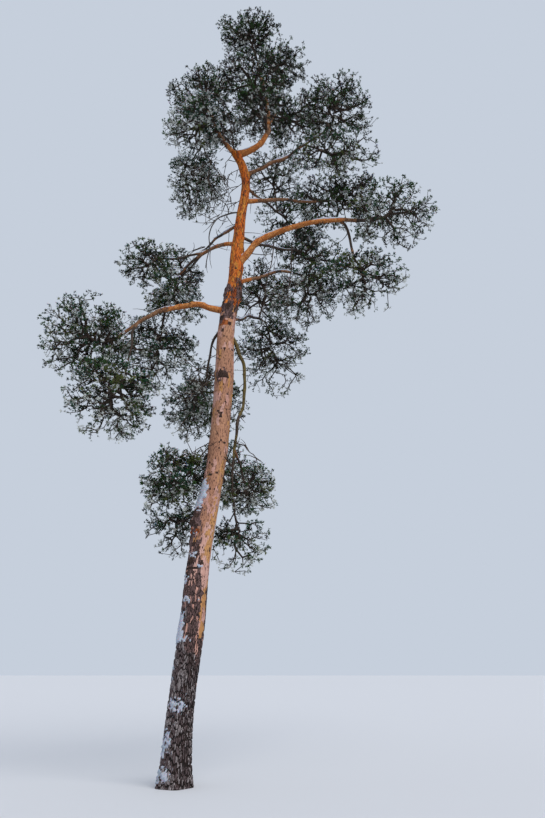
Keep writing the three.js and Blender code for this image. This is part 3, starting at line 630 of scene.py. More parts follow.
def trunk_at(heights):
    """Middle points and diameters of the trunk, on the solid's smooth curve through its stations."""
    stations = np.array(TRUNK_STATIONS)
    last = len(stations) - 1
    order = np.arange(last + 1)
    before, after = stations[np.maximum(order - 1, 0)], stations[np.minimum(order + 1, last)]
    slopes = (after - before) / (after - before)[:, :1]
    heights = np.atleast_1d(heights)
    upper = np.clip(np.searchsorted(stations[:, 0], heights), 1, last)
    low, high = stations[upper - 1], stations[upper]
    span = (high - low)[:, :1]
    t = (heights[:, None] - low[:, :1]) / span
    values = (low * (2 * t**3 - 3 * t**2 + 1) + high * (3 * t**2 - 2 * t**3)
              + span * (slopes[upper - 1] * (t**3 - 2 * t**2 + t) + slopes[upper] * (t**3 - t**2)))
    return np.column_stack((values[:, 1:3], heights)), values[:, 3]


def frames_along(points):
    """Tangents, and side and top vectors that turn as little as they can, along a line of points."""
    tangents = unit(np.gradient(points, axis=0))
    side = np.zeros(3)
    side[len(side) - 1 - np.argmin(np.abs(tangents[0])[::-1])] = 1
    sides = [np.cross(tangents[0], unit(np.cross(tangents[0], side)))]
    for tangent in tangents[1:]:
        sides.append(unit(sides[-1] - tangent * (sides[-1] @ tangent)))
    sides = np.array(sides)
    return tangents, sides, np.cross(tangents, sides)


def bough_named(name):
    """The bough of that name."""
    return next(bough for bough in BOUGHS if bough.name == name)


@lru_cache(maxsize=None)
def limb_controls(name):
    """The four control points of a bough's curve."""
    bough = bough_named(name)
    start, end = place_on(bough.parent, bough.at), np.array(bough.tip)
    reach = end - start
    heading = math.atan2(reach[1], reach[0])
    hold = bough.pull * np.linalg.norm(reach)
    return start, start + sloping(heading, bough.rise) * hold, end - sloping(heading, bough.fall) * hold, end


def place_on(limb, at):
    """The point on the trunk or on a bough where another limb leaves it."""
    if limb == "trunk":
        return trunk_at(at)[0][0]
    return on_curve(limb_controls(limb), at)[0]


def curve_length(controls):
    """The length of a Bezier curve."""
    steps = on_curve(controls, np.linspace(0, 1, CURVE_STEPS))
    return np.linalg.norm(np.diff(steps, axis=0), axis=1).sum()


def limb_line(bough, steps):
    """Middle points and radii of a bough, with the solid's sideways waver."""
    shares = np.linspace(0, 1, steps + 1)
    controls = limb_controls(bough.name)
    points = on_curve(controls, shares)
    _, sides, _ = frames_along(points)
    waver = np.sin(2 * LIMB_WAVES * np.pi * shares) * np.sin(np.pi * shares)
    points = points + sides * (LIMB_WANDER * curve_length(controls) * waver)[:, None]
    return points, lerp(bough.thick[0], bough.thick[1], shares) / 2


@lru_cache(maxsize=None)
def wood_places():
    """Points and radii spread over the trunk and all boughs, to keep twigs and needles off them."""
    heights = np.linspace(0, TRUNK_STATIONS[-1][0], TRUNK_PLACES)
    points, diameters = trunk_at(heights)
    lines = [(points, diameters / 2)]
    lines += [limb_line(bough, BOUGH_PLACES) for bough in BOUGHS]
    return tuple(np.concatenate(column) for column in zip(*lines))


def room_beside_wood(points):
    """How far each point lies from the surface of the nearest limb."""
    places, radii = wood_places()
    gaps = np.linalg.norm(points[:, None] - places[None], axis=2) - radii[None]
    return gaps.min(axis=1)


def stem_controls(mass):
    """The three control points of a mass's stem and its first diameter."""
    place, centre = place_on(mass.limb, mass.at), np.array(mass.centre)
    way = centre - place
    first, leaving = SIDE_STEM_DIAMETER, unit(way)
    if mass.at == TIP:
        controls = limb_controls(mass.limb)
        first, leaving = bough_named(mass.limb).thick[1], unit(controls[-1] - controls[-2])
    hub = place + way * STEM_SHARE
    return (place, place + leaving * np.linalg.norm(way) * STEM_SHARE / 2, hub), first


def partings(mass):
    """The planes between a mass's space and its neighbours': outward normals and reaches."""
    centre, half = np.array(mass.centre), np.array(mass.half)
    others = [other for other in MASSES if other is not mass]
    ways = np.array([other.centre for other in others]) - centre
    normals = unit(ways)
    own = 1 / np.linalg.norm(normals / half, axis=1)
    theirs = 1 / np.linalg.norm(normals / np.array([other.half for other in others]), axis=1)
    reach = np.linalg.norm(ways, axis=1) * own / (own + theirs)
    return normals, normals @ centre + reach - NEIGHBOUR_GAP / 2


def within_space(mass, points, margin=SPACE_MARGIN):
    """Which points lie in the space that a mass keeps to."""
    normals, reaches = partings(mass)
    inside = np.linalg.norm((points - mass.centre) / mass.half, axis=1) <= margin
    return inside & (points @ normals.T <= reaches).all(axis=1)


def turned(vector, axis, angle):
    """A vector turned about an axis at right angles to it."""
    return vector * math.cos(angle) + np.cross(axis, vector) * math.sin(angle)


def spray_tips(mass, random):
    """Points spread evenly over a mass's space for its sprays to reach, with each one's size and lean."""
    centre, half = np.array(mass.centre), np.array(mass.half)
    phase = next(random) * 2 * math.pi
    tips = []
    for order in range(mass.sprays):
        up = 1 - 2 * (order + 0.5) / mass.sprays
        turn = order * GOLDEN_ANGLE + phase
        flat = math.sqrt(1 - up * up)
        outward = np.array((math.cos(turn) * flat, math.sin(turn) * flat, up)) * half
        share, size, lean = lerp(*SHELL, next(random)), next(random), next(random)
        pull = 1.0
        while pull > TIP_LEAST and not within_space(mass, (centre + outward * share * pull)[None])[0]:
            pull -= TIP_DRAW
        tips.append((centre + outward * share * pull, size, lean))
    return tips


@lru_cache(maxsize=None)
def sprays_of(index):
    """The sprays of one mass, grown by the rule of the solids: each leaves its own fork of the stem."""
    mass = MASSES[index]
    random = random_stream(SEED + index)
    controls, _ = stem_controls(mass)
    foot, _, hub = controls
    centre = np.array(mass.centre)
    tips = sorted(spray_tips(mass, random), key=lambda tip: tip[0] @ (hub - foot))
    sprays = []
    for order, (tip, size, lean) in enumerate(tips):
        fork = on_curve(controls, lerp(*FORKS, order / (len(tips) - 1)))[0]
        way = tip - fork
        outward, ahead = unit(tip - centre), unit(tip - foot)
        for attempt in range(SPRAY_TRIES):
            longest = min(lerp(*SPRAY_LENGTH, size), SPRAY_REACH * np.linalg.norm(way))
            length = longest * TRY_LENGTH**attempt
            axis = unit(outward * HEADING_OUTWARD + ahead * HEADING_AHEAD
                        + unit(way) * (HEADING_WAY + TRY_STRAIGHTEN * attempt))
            root = lerp(centre, tip, TRY_REACH**attempt) - axis * length
            side = SPRAY_ROLL if order % 2 else -SPRAY_ROLL
            roll = side + (lean - 0.5) * ROLL_SPREAD + attempt * TRY_TURN
            across = turned(unit(np.cross(UP, axis)), axis, roll)
            teeth = [(math.radians(degrees), reach) for degrees, reach in SPRAY_TEETH]
            corners = [root] + [root + length * reach * (axis * math.cos(turn) + across * math.sin(turn))
                                for turn, reach in teeth]
            corners = np.array(corners + [lerp(root, corner, 0.5) for corner in corners[1:]])
            if within_space(mass, corners).all() and room_beside_wood(corners).min() > LIMB_CLEARANCE:
                sprays.append(Spray(fork, root, axis, across, length))
                break
    return sprays


def pads_of(index, rng, settings):
    """Middles of one mass's needled pads: through the fan of each of its sprays, and between the sprays."""
    mass = MASSES[index]
    centre, half = np.array(mass.centre), np.array(mass.half)
    degrees, reaches = np.array(SPRAY_TEETH).T
    count = round(settings.pads_per_spray * mass.full)
    places = []
    for spray in sprays_of(index):
        angle = rng.uniform(degrees[0] - FAN_EDGE, degrees[-1] + FAN_EDGE, count)
        out = np.sqrt(rng.uniform(FAN_START, 1, count)) * np.interp(angle, degrees, reaches)
        lift = rng.normal(0, settings.spray_depth, count)[:, None]
        angle = np.radians(angle)[:, None]
        ray = spray.axis * np.cos(angle) + spray.across * np.sin(angle)
        normal = np.cross(spray.axis, spray.across)
        places.append(spray.root + spray.length * (ray * out[:, None] + normal * lift))
    between = round(settings.pads_per_cubic_metre * mass.filled * np.prod(half) * 4 / 3 * math.pi)
    away = unit(rng.normal(0, 1, (between, 3))) * np.cbrt(rng.uniform(SPACE_START, 1, (between, 1)))
    places.append(centre + half * away)
    places = np.concatenate(places)
    high = smooth(*AIRY_BAND, (places[:, 2] - centre[2]) / half[2])
    grown = rng.uniform(0, 1, len(places)) < lerp(settings.underside, 1.0, high)
    return places[within_space(mass, places, settings.pads_reach) & grown]


def shoots_of(index, settings):
    """Feet, directions and sizes of one mass's shoots, gathered in pads that are wider than high."""
    rng = np.random.default_rng((SEED, index))
    mass = MASSES[index]
    pads = pads_of(index, rng, settings)
    count = settings.shoots_per_pad
    wide = settings.pad_width / 2
    spread = np.clip(rng.normal(0, 1, (len(pads) * count, 3)), -PAD_SPREAD, PAD_SPREAD)
    aside = spread * (wide, wide, wide * settings.pad_flatness)
    ends = np.repeat(pads, count, axis=0) + aside
    outward = unit(ends - np.array(mass.centre))
    ways = unit(outward * SHOOT_OUT + aside / wide * SHOOT_ASIDE + UP * SHOOT_UP
                + rng.normal(0, SHOOT_STRAY, aside.shape))
    size = rng.uniform(*SHOOT_SIZES, len(ends))
    feet = ends - ways * (settings.shoot_length * size)[:, None]
    furthest = size * LONGEST * (settings.shoot_length + settings.needle_length)
    free = within_space(mass, feet + outward * furthest[:, None])
    free &= room_beside_wood(feet) > LIMB_CLEARANCE
    free &= ~under_limbs(mass, feet, settings.bare_reach)
    return feet[free], ways[free], size[free]


def under_limbs(mass, points, reach):
    """Which points lie near a limb or the mass's own stem, below or beside it, where twigs are bare."""
    controls, _ = stem_controls(mass)
    limbs = np.vstack((on_curve(controls, np.linspace(0, 1, STEM_PLACES)), wood_places()[0]))
    limbs = limbs[np.linalg.norm(limbs - mass.centre, axis=1) < max(mass.half) + reach]
    away = points[:, None] - limbs[None]
    near = (np.linalg.norm(away, axis=2) < reach) & (away[..., 2] < UNDER_LIMB)
    return near.any(axis=1)


def join_shoots(roots, feet):
    """Joins each shoot's foot to a near place that was reached before, best one with a short way back.
    Gives all places, the parent of each, and the order in which the feet are reached."""
    nodes = np.vstack((roots, feet))
    start = len(roots)
    to_root = np.linalg.norm(feet[:, None] - roots[None], axis=2).min(axis=1)
    order = np.concatenate((np.arange(start), start + np.argsort(to_root, kind="stable")))
    parents = np.arange(len(nodes))
    back = np.zeros(len(nodes))
    for rank, node in enumerate(order[start:], start=start):
        reached = order[:rank]
        gaps = np.linalg.norm(nodes[reached] - nodes[node], axis=1)
        best = reached[np.argmin(gaps + WAY_BACK * back[reached])]
        parents[node] = best
        back[node] = back[best] + np.linalg.norm(nodes[best] - nodes[node])
    return nodes, parents, order[start:]


def carried(parents, order):
    """How many shoots each place carries, itself among them."""
    count = np.ones(len(parents))
    for node in order[::-1]:
        count[parents[node]] += count[node]
    return count


@lru_cache(maxsize=None)
def crown():
    """All shoots and twigs of the crown, as arrays."""
    settings = bpy.context.scene.pine_needles
    shoots = {"foot": [], "way": [], "size": [], "mass": []}
    twigs = []
    for index in range(len(MASSES)):
        sprays = sprays_of(index)
        feet, ways, sizes = shoots_of(index, settings)
        nodes, parents, order = join_shoots(np.array([spray.root for spray in sprays]), feet)
        thick = settings.twig_radius * carried(parents, order) ** (1 / PIPE_POWER)
        slim = thick[order]
        twigs.append(np.column_stack((nodes[parents[order]], nodes[order],
                                      np.minimum(thick[parents[order]], slim * TWIG_TAPER), slim)))
        twigs += [curved_twig(spray, thick[number]) for number, spray in enumerate(sprays)]
        for kind, values in zip(shoots, (feet, ways, sizes, np.full(len(feet), index))):
            shoots[kind].append(values)
    shoots = {kind: np.concatenate(parts) for kind, parts in shoots.items()}
    return shoots, np.concatenate(twigs)


def by_mass(shoots, value_of):
    """For each shoot, the value that its mass has."""
    return np.array([value_of(mass) for mass in MASSES])[shoots["mass"]]


def lengths_along(points, radii):
    """Short lengths of rod from each point to the next: rows of both ends and both radii."""
    return np.column_stack((points[:-1], points[1:], radii[:-1], radii[1:]))


def curved_twig(spray, radius):
    """The twig from a spray's fork to its root, in short lengths along a curve."""
    way = spray.root - spray.fork
    bend = spray.root - spray.axis * np.linalg.norm(way) * 0.5
    points = on_curve((spray.fork, bend, spray.root), np.linspace(0, 1, TWIG_POINTS))
    return lengths_along(points, np.linspace(radius * TWIG_FOOT, radius, TWIG_POINTS))


def rods(ends, sides):
    """Tapering rods between pairs of points, as one mesh. Each row holds both ends and both radii."""
    starts, stops, first, last = ends[:, :3], ends[:, 3:6], ends[:, 6], ends[:, 7]
    way = unit(stops - starts)
    side = unit(np.cross(way, np.where(np.abs(way[:, 2:]) > 0.9, (1.0, 0.0, 0.0), (0.0, 0.0, 1.0))))
    top = np.cross(way, side)
    turns = np.arange(sides) / sides * 2 * np.pi
    ring = side[:, None] * np.cos(turns)[:, None] + top[:, None] * np.sin(turns)[:, None]
    points = np.concatenate((starts[:, None] + ring * first[:, None, None],
                             stops[:, None] + ring * last[:, None, None]), axis=1)
    near = np.arange(sides)
    following = (near + 1) % sides
    walls = np.concatenate((np.column_stack((near, following, following + sides)),
                            np.column_stack((near, following + sides, near + sides))))
    return repeated(points, walls)


def repeated(points, faces):
    """Many copies of one small mesh as one: points is copies by points by 3, and faces are of one copy."""
    copies, count = points.shape[:2]
    offsets = np.arange(copies)[:, None, None] * count
    return points.reshape(-1, 3), (faces[None] + offsets).reshape(-1, 3)


def copies_at(points, places, axes):
    """Copies of some points, one at each place and turned and sized by that place's three axes."""
    return places[:, None] + np.einsum("pk,skx->spx", points, axes)


def joined(meshes):
    """Several meshes as one."""
    points, faces, start = [], [], 0
    for part_points, part_faces in meshes:
        points.append(part_points)
        faces.append(part_faces + start)
        start += len(part_points)
    return np.concatenate(points), np.concatenate(faces)


def blades(feet, ways, lengths, width):
    """Narrow folded blades, four points each: needles, and the short stems that hold them."""
    side = unit(np.cross(ways, (0.3, 0.9, 0.2)))
    back = np.cross(ways, side)
    half = width / 2
    return np.stack((feet - side * half, feet + back * half * 0.6, feet + side * half,
                     feet + ways * lengths[:, None]), axis=1)


def needle_shoot(variant, settings):
    """One shoot along +Z: stems that part at its foot, the first upright, with a tuft of needles on each."""
    rng = np.random.default_rng((SEED, variant))
    tufts, count = settings.tufts_per_shoot, settings.needles_per_tuft
    order = np.arange(tufts)
    turn = order / max(1, tufts - 1) * 2 * np.pi + rng.uniform(-TUFT_STRAY, TUFT_STRAY, tufts)
    lean = np.radians(rng.uniform(*TUFT_LEAN, tufts)) * (order > 0)
    stems = np.column_stack((np.cos(turn) * np.sin(lean), np.sin(turn) * np.sin(lean), np.cos(lean)))
    reach = settings.shoot_length * rng.uniform(*TUFT_REACH, tufts)
    parts = [blades(np.zeros((tufts, 3)), stems, reach, settings.twig_radius * 2)]
    for stem, end in zip(stems, stems * reach[:, None]):
        number = np.arange(count)
        around = number * GOLDEN_ANGLE + rng.uniform(0, 2 * np.pi)
        opening = np.radians(lerp(*NEEDLE_OPENING, (number + 0.5) / count))
        opening = opening + rng.uniform(-NEEDLE_STRAY, NEEDLE_STRAY, count)
        side = unit(np.cross(stem, (0.1, 0.2, 1.0) if stem[2] < 0.9 else (1.0, 0.0, 0.0)))
        out = side * np.cos(around)[:, None] + np.cross(stem, side) * np.sin(around)[:, None]
        ways = out * np.sin(opening)[:, None] + stem * np.cos(opening)[:, None]
        lengths = settings.needle_length * rng.uniform(*NEEDLE_LENGTHS, count)
        feet = end - stem * (settings.needle_length * TUFT_DEPTH * rng.uniform(0, 1, count))[:, None]
        parts.append(blades(feet, ways, lengths, settings.needle_width))
    return repeated(np.concatenate(parts), np.array(BLADE_FACES))


def place_shoots(shoots, settings):
    """The needles of some shoots as one mesh."""
    rng = np.random.default_rng(SEED)
    variant = rng.integers(0, SHOOT_VARIANTS, len(shoots["foot"]))
    spin = rng.uniform(0, 2 * np.pi, len(variant))
    parts = []
    for number in range(SHOOT_VARIANTS):
        pick = variant == number
        points, faces = needle_shoot(number, settings)
        way = shoots["way"][pick]
        side = unit(np.cross(way, UP + 1e-6))
        top = np.cross(way, side)
        turn = spin[pick][:, None]
        side, top = side * np.cos(turn) + top * np.sin(turn), top * np.cos(turn) - side * np.sin(turn)
        axes = np.stack((side, top, way), axis=1) * shoots["size"][pick][:, None, None]
        parts.append(repeated(copies_at(points, shoots["foot"][pick], axes), faces))
    return joined(parts)


def grid_faces(rows, columns):
    """Triangles of a tube's wall whose points come row by row."""
    row, column = np.divmod(np.arange((rows - 1) * columns), columns)
    low = row * columns + column
    low_next = row * columns + (column + 1) % columns
    return np.stack((np.column_stack((low, low_next, low_next + columns)),
                     np.column_stack((low, low_next + columns, low + columns))), axis=1).reshape(-1, 3)


def closed_tube(rings):
    """A tube from rings of points, with a centre point that closes each end."""
    rows, columns = rings.shape[:2]
    points = np.vstack((rings.reshape(-1, 3), rings[0].mean(axis=0), rings[-1].mean(axis=0)))
    near = np.arange(columns)
    following = (near + 1) % columns
    foot, top = rows * columns, rows * columns + 1
    last = (rows - 1) * columns
    caps = (np.column_stack((following, near, np.full(columns, foot))),
            np.column_stack((near + last, following + last, np.full(columns, top))))
    return points, np.concatenate((grid_faces(rows, columns),) + caps)


def cells_of(around, along, columns, seed):
    """For places on a grid of uneven cells that closes round the trunk: how far each is from the edge of its
    cell, and its cell's own number from 0 to 1."""
    column, row = np.floor(around).astype(int), np.floor(along).astype(int)
    best = np.full(around.shape, 9.0)
    second = best.copy()
    own = np.zeros(around.shape)
    for across in (-1, 0, 1):
        for up in (-1, 0, 1):
            cell = np.stack(((column + across) % columns, row + up), axis=-1)
            x = column + across + CELL_EDGE + CELL_ROOM * hashed(cell, seed)
            y = row + up + CELL_EDGE + CELL_ROOM * hashed(cell, seed + 1)
            gap = np.hypot(around - x, along - y)
            nearer = gap < best
            second = np.where(nearer, best, np.minimum(second, gap))
            own = np.where(nearer, hashed(cell, seed + 2), own)
            best = np.where(nearer, gap, best)
    return second - best, own


def trunk_surface(heights, turns):
    """Points on the trunk before its bark is worked, with outward vectors."""
    middles, diameters = trunk_at(heights)
    flare = np.exp(-heights / FLARE_HEIGHT)
    lobes = 1 + LOBE_DEPTH * flare * np.cos(FLARE_LOBES * turns + LOBE_TURN)
    radius = diameters / 2 * (1 + FLARE_GROWTH * flare) * lobes
    outward = np.column_stack((np.cos(turns), np.sin(turns), np.zeros(len(turns))))
    return middles + outward * radius[:, None], outward, radius


def plated_share(heights, turns, surface):
    """How far the bark is plated: below a ragged edge that lies lower on the smooth side of the trunk."""
    ragged = 0.6 * rough(surface, 0.35, 3) + 0.4 * rough(surface, 0.1, 13)
    side = EDGE_DROP * np.cos(turns - math.radians(SMOOTH_SIDE))
    return 1 - smooth(-PLATES_FADE, PLATES_FADE, heights - PLATES_END + side + ragged)


def brown_share(heights, turns, surface):
    """The share of the bark above the plates that has kept its brown flakes."""
    drop = BROWN_DROP * smooth(SMOOTH_FROM, 1, np.cos(turns - math.radians(SMOOTH_SIDE)))
    share = 1 - smooth(*BROWN_FADE, heights + drop + 0.25 * rough(surface, 0.3, 24))
    again = smooth(*BROWN_AGAIN, heights) * (1 - smooth(*BROWN_END, heights + 0.2 * rough(surface, 0.2, 27)))
    return np.maximum(share, BROWN_AGAIN_SHARE * again)


def flake_kinds(heights, turns, surface, plate, flake):
    """The kinds of thin bark: salmon with pale and tawny flakes, and higher up orange, amber and rust."""
    pale_from = PALE_FROM - PALE_MORE * (1 - smooth(*PALE_BAND, heights))
    tawny_below = lerp(*TAWNY_SHARES, smooth(*TAWNY_BAND, heights))
    # More tawny flakes towards the lit side: painted light.
    tawny_below = TAWNY_LEAST + tawny_below * smooth(TAWNY_FROM, 1, np.cos(turns - math.radians(TAWNY_LIT_SIDE)))
    lower = np.where(flake > pale_from, PALE_SALMON, np.where(flake < tawny_below, TAWNY, SALMON))
    upper = np.where(flake < AMBER_BELOW, AMBER, np.where(flake > RUST_ABOVE, RUST, ORANGE))
    ragged = 0.3 * rough(surface, 0.6, 12)
    return np.where(heights + ragged + 0.7 * (plate - 0.5) > SALMON_END, upper, lower)


def bark_relief(heights, turns, settings):
    """How far the bark stands out at places on the trunk, and the kind of bark there."""
    surface, _, radius = trunk_surface(heights, turns)
    bare = np.zeros(len(heights))
    for patch in BARE_PATCHES:
        bare = np.maximum(bare, patch_cover(patch, heights, turns, radius, surface))
    plated = np.minimum(plated_share(heights, turns, surface), 1 - bare)

    # Each place lies in a plate, and in a flake, which has its own edge and its own number from 0 to 1.
    around = turns / (2 * np.pi) * PLATE_COLUMNS + 0.6 * rough(surface, 0.09, 4)
    along = heights / settings.plate_height + 0.8 * rough(surface * (1, 1, 0.3), 0.08, 5)
    edge, plate = cells_of(around, along, PLATE_COLUMNS, 11)
    around = around * FLAKE_COLUMNS / PLATE_COLUMNS + 0.2 * rough(surface, 0.05, 22)
    along = heights / settings.flake_height + 0.5 * rough(surface, 0.1, 14)
    flake_edge, flake = cells_of(around, along, FLAKE_COLUMNS, 23)
    brown = (plate < brown_share(heights, turns, surface)) & (bare < 0.5)

    depth = np.maximum(plated, BROWN_DEPTH * brown) * settings.fissure_depth
    relief = depth * (smooth(*PLATE_RISE, edge) - PLATE_SUNK + PLATE_UNEVEN * (plate - 0.5))
    relief += plated * PLATE_GRAIN * rough(surface, 0.022, 6)
    relief += (1 - plated) * (FLAKE_LIFT * (flake - 0.5) * smooth(0, FLAKE_RISE, flake_edge)
                              + FLAKE_GRAIN * rough(surface, 0.05, 7))
    relief += TRUNK_SWELLINGS * rough(surface * (1, 1, 0.5), 0.3, 8)

    plates = np.where(plate > BLEACHED_ABOVE, PALE_PLATES, PLATES)
    plates = np.where(edge < FISSURE_EDGE - FISSURE_LESS * plate, FISSURES, plates)
    browns = np.where(edge < BROWN_EDGE, FISSURES, np.where(plate > LOST_ABOVE, PALE_SALMON, BROWN))
    flakes = flake_kinds(heights, turns, surface, plate, flake)
    flakes = np.where(bare > 0.5, np.where(flake > BARE_PALE_BELOW, TAWNY, PALE_SALMON), flakes)
    flakes = np.where((flake_edge < FLAKE_EDGE) & (rough(surface, 0.1, 25) > FLAKE_EDGE_GAPS), SCAR, flakes)
    kinds = np.where(plated > 0.5, plates, np.where(brown, browns, flakes))
    return add_marks(relief, kinds, flake, heights, turns, radius, surface)


def add_marks(relief, kinds, flake, heights, turns, radius, surface):
    """The relief and kinds of bark with what marks it: reddened patches, cracks, knots and collars."""
    for patch in REDDENED_PATCHES:
        kinds = np.where(patch_cover(patch, heights, turns, radius, surface) > 0.5, RUST, kinds)
    waver = CRACK_WAVER * rough(surface, 0.12, 26)
    for crack in CRACKS_ACROSS:
        across = np.abs(heights - crack.height - waver) < crack.width
        across &= np.abs(angles_from(turns, math.radians(crack.turn))) * radius < crack.reach
        relief = relief - across * crack.width * CRACK_DEPTH
        kinds = np.where(across, SCAR, kinds)
    uneven = 1 + 0.3 * rough(surface, 0.05, 16)
    for knot in KNOTS:
        gap = knot_gap(knot, heights, turns, radius) * uneven
        swelling = np.exp(-((gap / KNOT_WIDTH) ** 2))
        hollow = np.exp(-((gap / KNOT_HOLLOW) ** 2))
        relief = relief + knot.lift * (swelling - 0.5 * hollow)
        kinds = np.where((gap < BURL_REACH) & (knot.size > BURL) & (flake < BURL_SHARE), BROWN, kinds)
        kinds = np.where(gap < KNOT_CORE, SCAR, kinds)
    for bough in BOUGHS:
        if bough.parent == "trunk":
            relief = relief + collar(bough, heights, turns, radius)
    return relief, kinds


def patch_cover(patch, heights, turns, radius, surface):
    """How fully a ragged patch covers places on the trunk, from 0 to 1."""
    apart = angles_from(turns, math.radians(patch.turn))
    gap = np.hypot(apart * radius / (patch.width / 2), (heights - patch.height) / (patch.length / 2))
    ragged = 0.5 * rough(surface, 0.09, 17) + 0.45 * rough(surface, 0.035, 18)
    holes = (1 - patch.cover) * (0.6 - 1.1 * rough(surface, 0.04, 19))
    return smooth(-0.12, 0.12, 1 - gap + ragged * 0.6 - holes)


def knot_gap(knot, heights, turns, radius):
    """Distances over the bark from a knot's middle, as shares of its size."""
    apart = angles_from(turns, math.radians(knot.turn))
    return np.hypot(apart * radius, (heights - knot.height) * 0.8) / knot.size


def collar(bough, heights, turns, radius):
    """The swelling of the trunk round the foot of a bough."""
    controls = limb_controls(bough.name)
    way = controls[1] - controls[0]
    apart = angles_from(turns, math.atan2(way[1], way[0]))
    gap = np.hypot(apart * radius, heights - bough.at) / (bough.thick[0] * COLLAR_REACH)
    return COLLAR_RISE * bough.thick[0] * np.exp(-(gap**2))


def trunk_mesh(settings):
    """The trunk's bark: a fine grid of points worked into plates, flakes, knots and collars."""
    top = TRUNK_STATIONS[-1][0]
    fine_rows = np.arange(0, FINE_END, settings.plated_step)
    upper_rows = np.linspace(FINE_END, top, round((top - FINE_END) / settings.upper_step))
    levels = np.concatenate((fine_rows, upper_rows))
    columns = settings.trunk_columns
    heights, turns = (grid.ravel() for grid in
                      np.meshgrid(levels, np.arange(columns) / columns * 2 * np.pi, indexing="ij"))
    surface, outward, _ = trunk_surface(heights, turns)
    relief, kinds = bark_relief(heights, turns, settings)
    relief = relief * smooth(0, FOOT_FADE, heights + FOOT_RELIEF)
    points = surface + outward * relief[:, None]
    points, faces = closed_tube(points.reshape(len(levels), columns, 3))
    kinds = np.append(kinds, (PLATES, ORANGE))
    return points, faces, kinds[faces[:, 0]]


def crooked_line(bough):
    """Middle points and radii of a bough, and distances along it, with crooks and swellings of its bark."""
    length = curve_length(limb_controls(bough.name))
    rows = max(10, round(length / BOUGH_STEP))
    points, radii = limb_line(bough, rows)
    shares = np.linspace(0, 1, rows + 1)
    held = np.minimum(1, 4 * np.minimum(shares, 1 - shares))[:, None]
    crook = wandering(points, 0.3, (34, 35, 36))
    points = points + crook * held * CROOK * min(1.0, length / CROOKED_LENGTH)
    foot = FOOT_SWELL * np.exp(-shares * length / bough.thick[0])
    knots = KNOT_SWELL * smooth(0.35, 0.7, rough(points, 0.11, 37))
    return points, radii * (1 + foot + knots), shares * length


def bough_mesh(bough):
    """A bough's bark: a crooked tube that swells at its foot and knots, and a kind for each face."""
    points, radii, from_foot = crooked_line(bough)
    rows = len(points)
    tangents, sides, tops = frames_along(points)
    points = points - tangents * (bough.thick[0] * FOOT_SUNK * np.exp(-from_foot / FOOT_SUNK_OVER))[:, None]
    turns = np.arange(BOUGH_COLUMNS) / BOUGH_COLUMNS * 2 * np.pi
    ring = sides[:, None] * np.cos(turns)[:, None] + tops[:, None] * np.sin(turns)[:, None]
    plain = points[:, None] + ring * radii[:, None, None]
    bumps = rough(plain.reshape(-1, 3), 0.07, 31) * 0.6 + rough(plain.reshape(-1, 3), 0.2, 32)
    worked = plain + ring * (bumps.reshape(rows, -1) * radii[:, None] * BOUGH_BUMPS)[..., None]
    made, faces = closed_tube(worked)
    thick = np.append(np.repeat(radii, BOUGH_COLUMNS), (radii[0], radii[-1]))
    thick = thick + rough(made, 0.2, 33) * KIND_STRAY
    shares = np.append(np.repeat(from_foot / from_foot[-1], BOUGH_COLUMNS), (0, 1))
    shares = shares + rough(made, 0.15, 38) * END_STRAY
    orange = (thick > ORANGE_RADIUS) & (shares < ORANGE_ENDS.get(bough.name, ALL_OF_IT))
    kinds = np.where(orange, PEELING, np.where(thick > BROWN_RADIUS, BROWN_BOUGH, ROUGH_TWIG))
    if bough.name == "dead_branch":
        kinds = np.full(len(made), DEAD)
    if bough.name == "bough_hanging":
        kinds = np.where(thick > ALGAE_RADIUS, ALGAE, ROUGH_TWIG)
    return made, faces, kinds[faces[:, 0]]


def stubs():
    """Broken side twigs on the boughs and the upper trunk, as short lengths of rod."""
    rng = np.random.default_rng(SEED + 5)
    parts = []
    for bough in BOUGHS:
        points, radii, from_foot = crooked_line(bough)
        tangents, sides, tops = frames_along(points)
        for place in rng.integers(3, len(points) - 1, round(from_foot[-1] * STUBS_PER_METRE)):
            turn = rng.uniform(0, 2 * np.pi)
            out = sides[place] * math.cos(turn) + tops[place] * math.sin(turn)
            parts.append(stub(points[place], unit(out + tangents[place] * STUB_AHEAD), radii[place], rng))
    for height in np.linspace(*STUBBED_TRUNK, TRUNK_STUBS):
        middle, diameter = trunk_at(height)
        turn = rng.uniform(0, 2 * np.pi)
        parts.append(stub(middle[0], np.array((math.cos(turn), math.sin(turn), -0.1)), diameter[0] / 2, rng))
    for branch in BARE_BRANCHES:
        parts += bare_branch(branch, rng)
    return np.concatenate(parts)


def bare_branch(branch, rng):
    """A dead branch inside the crown and the stubs along it, each as short lengths of rod."""
    corners = np.array(branch.points)
    places = np.linspace(0, len(corners) - 1, 4 * len(corners))
    points = np.stack([np.interp(places, np.arange(len(corners)), along) for along in corners.T], axis=1)
    points[1:] += BRANCH_WAVER * wandering(points[1:], 0.12, (44, 45, 46))
    parts = [lengths_along(points, np.linspace(branch.radius, branch.radius * 0.4, len(points)))]
    for place in range(2, len(points), 2):
        parts.append(stub(points[place], unit(rng.normal(0, 1, 3) - UP * 0.3), 0.0, rng))
    return parts


def stub(foot, way, inside, rng):
    """One dead side twig: it starts inside its limb, bends, and is broken off."""
    length = inside + rng.uniform(*STUB_LENGTH)
    bend = unit(way + rng.normal(0, 0.5, 3))
    end = foot + unit(way + bend * 0.7) * length
    points = on_curve((foot, foot + way * length * 0.6, end), np.linspace(0, 1, STUB_POINTS))
    return lengths_along(points, np.linspace(rng.uniform(*STUB_RADIUS), STUB_END, STUB_POINTS))


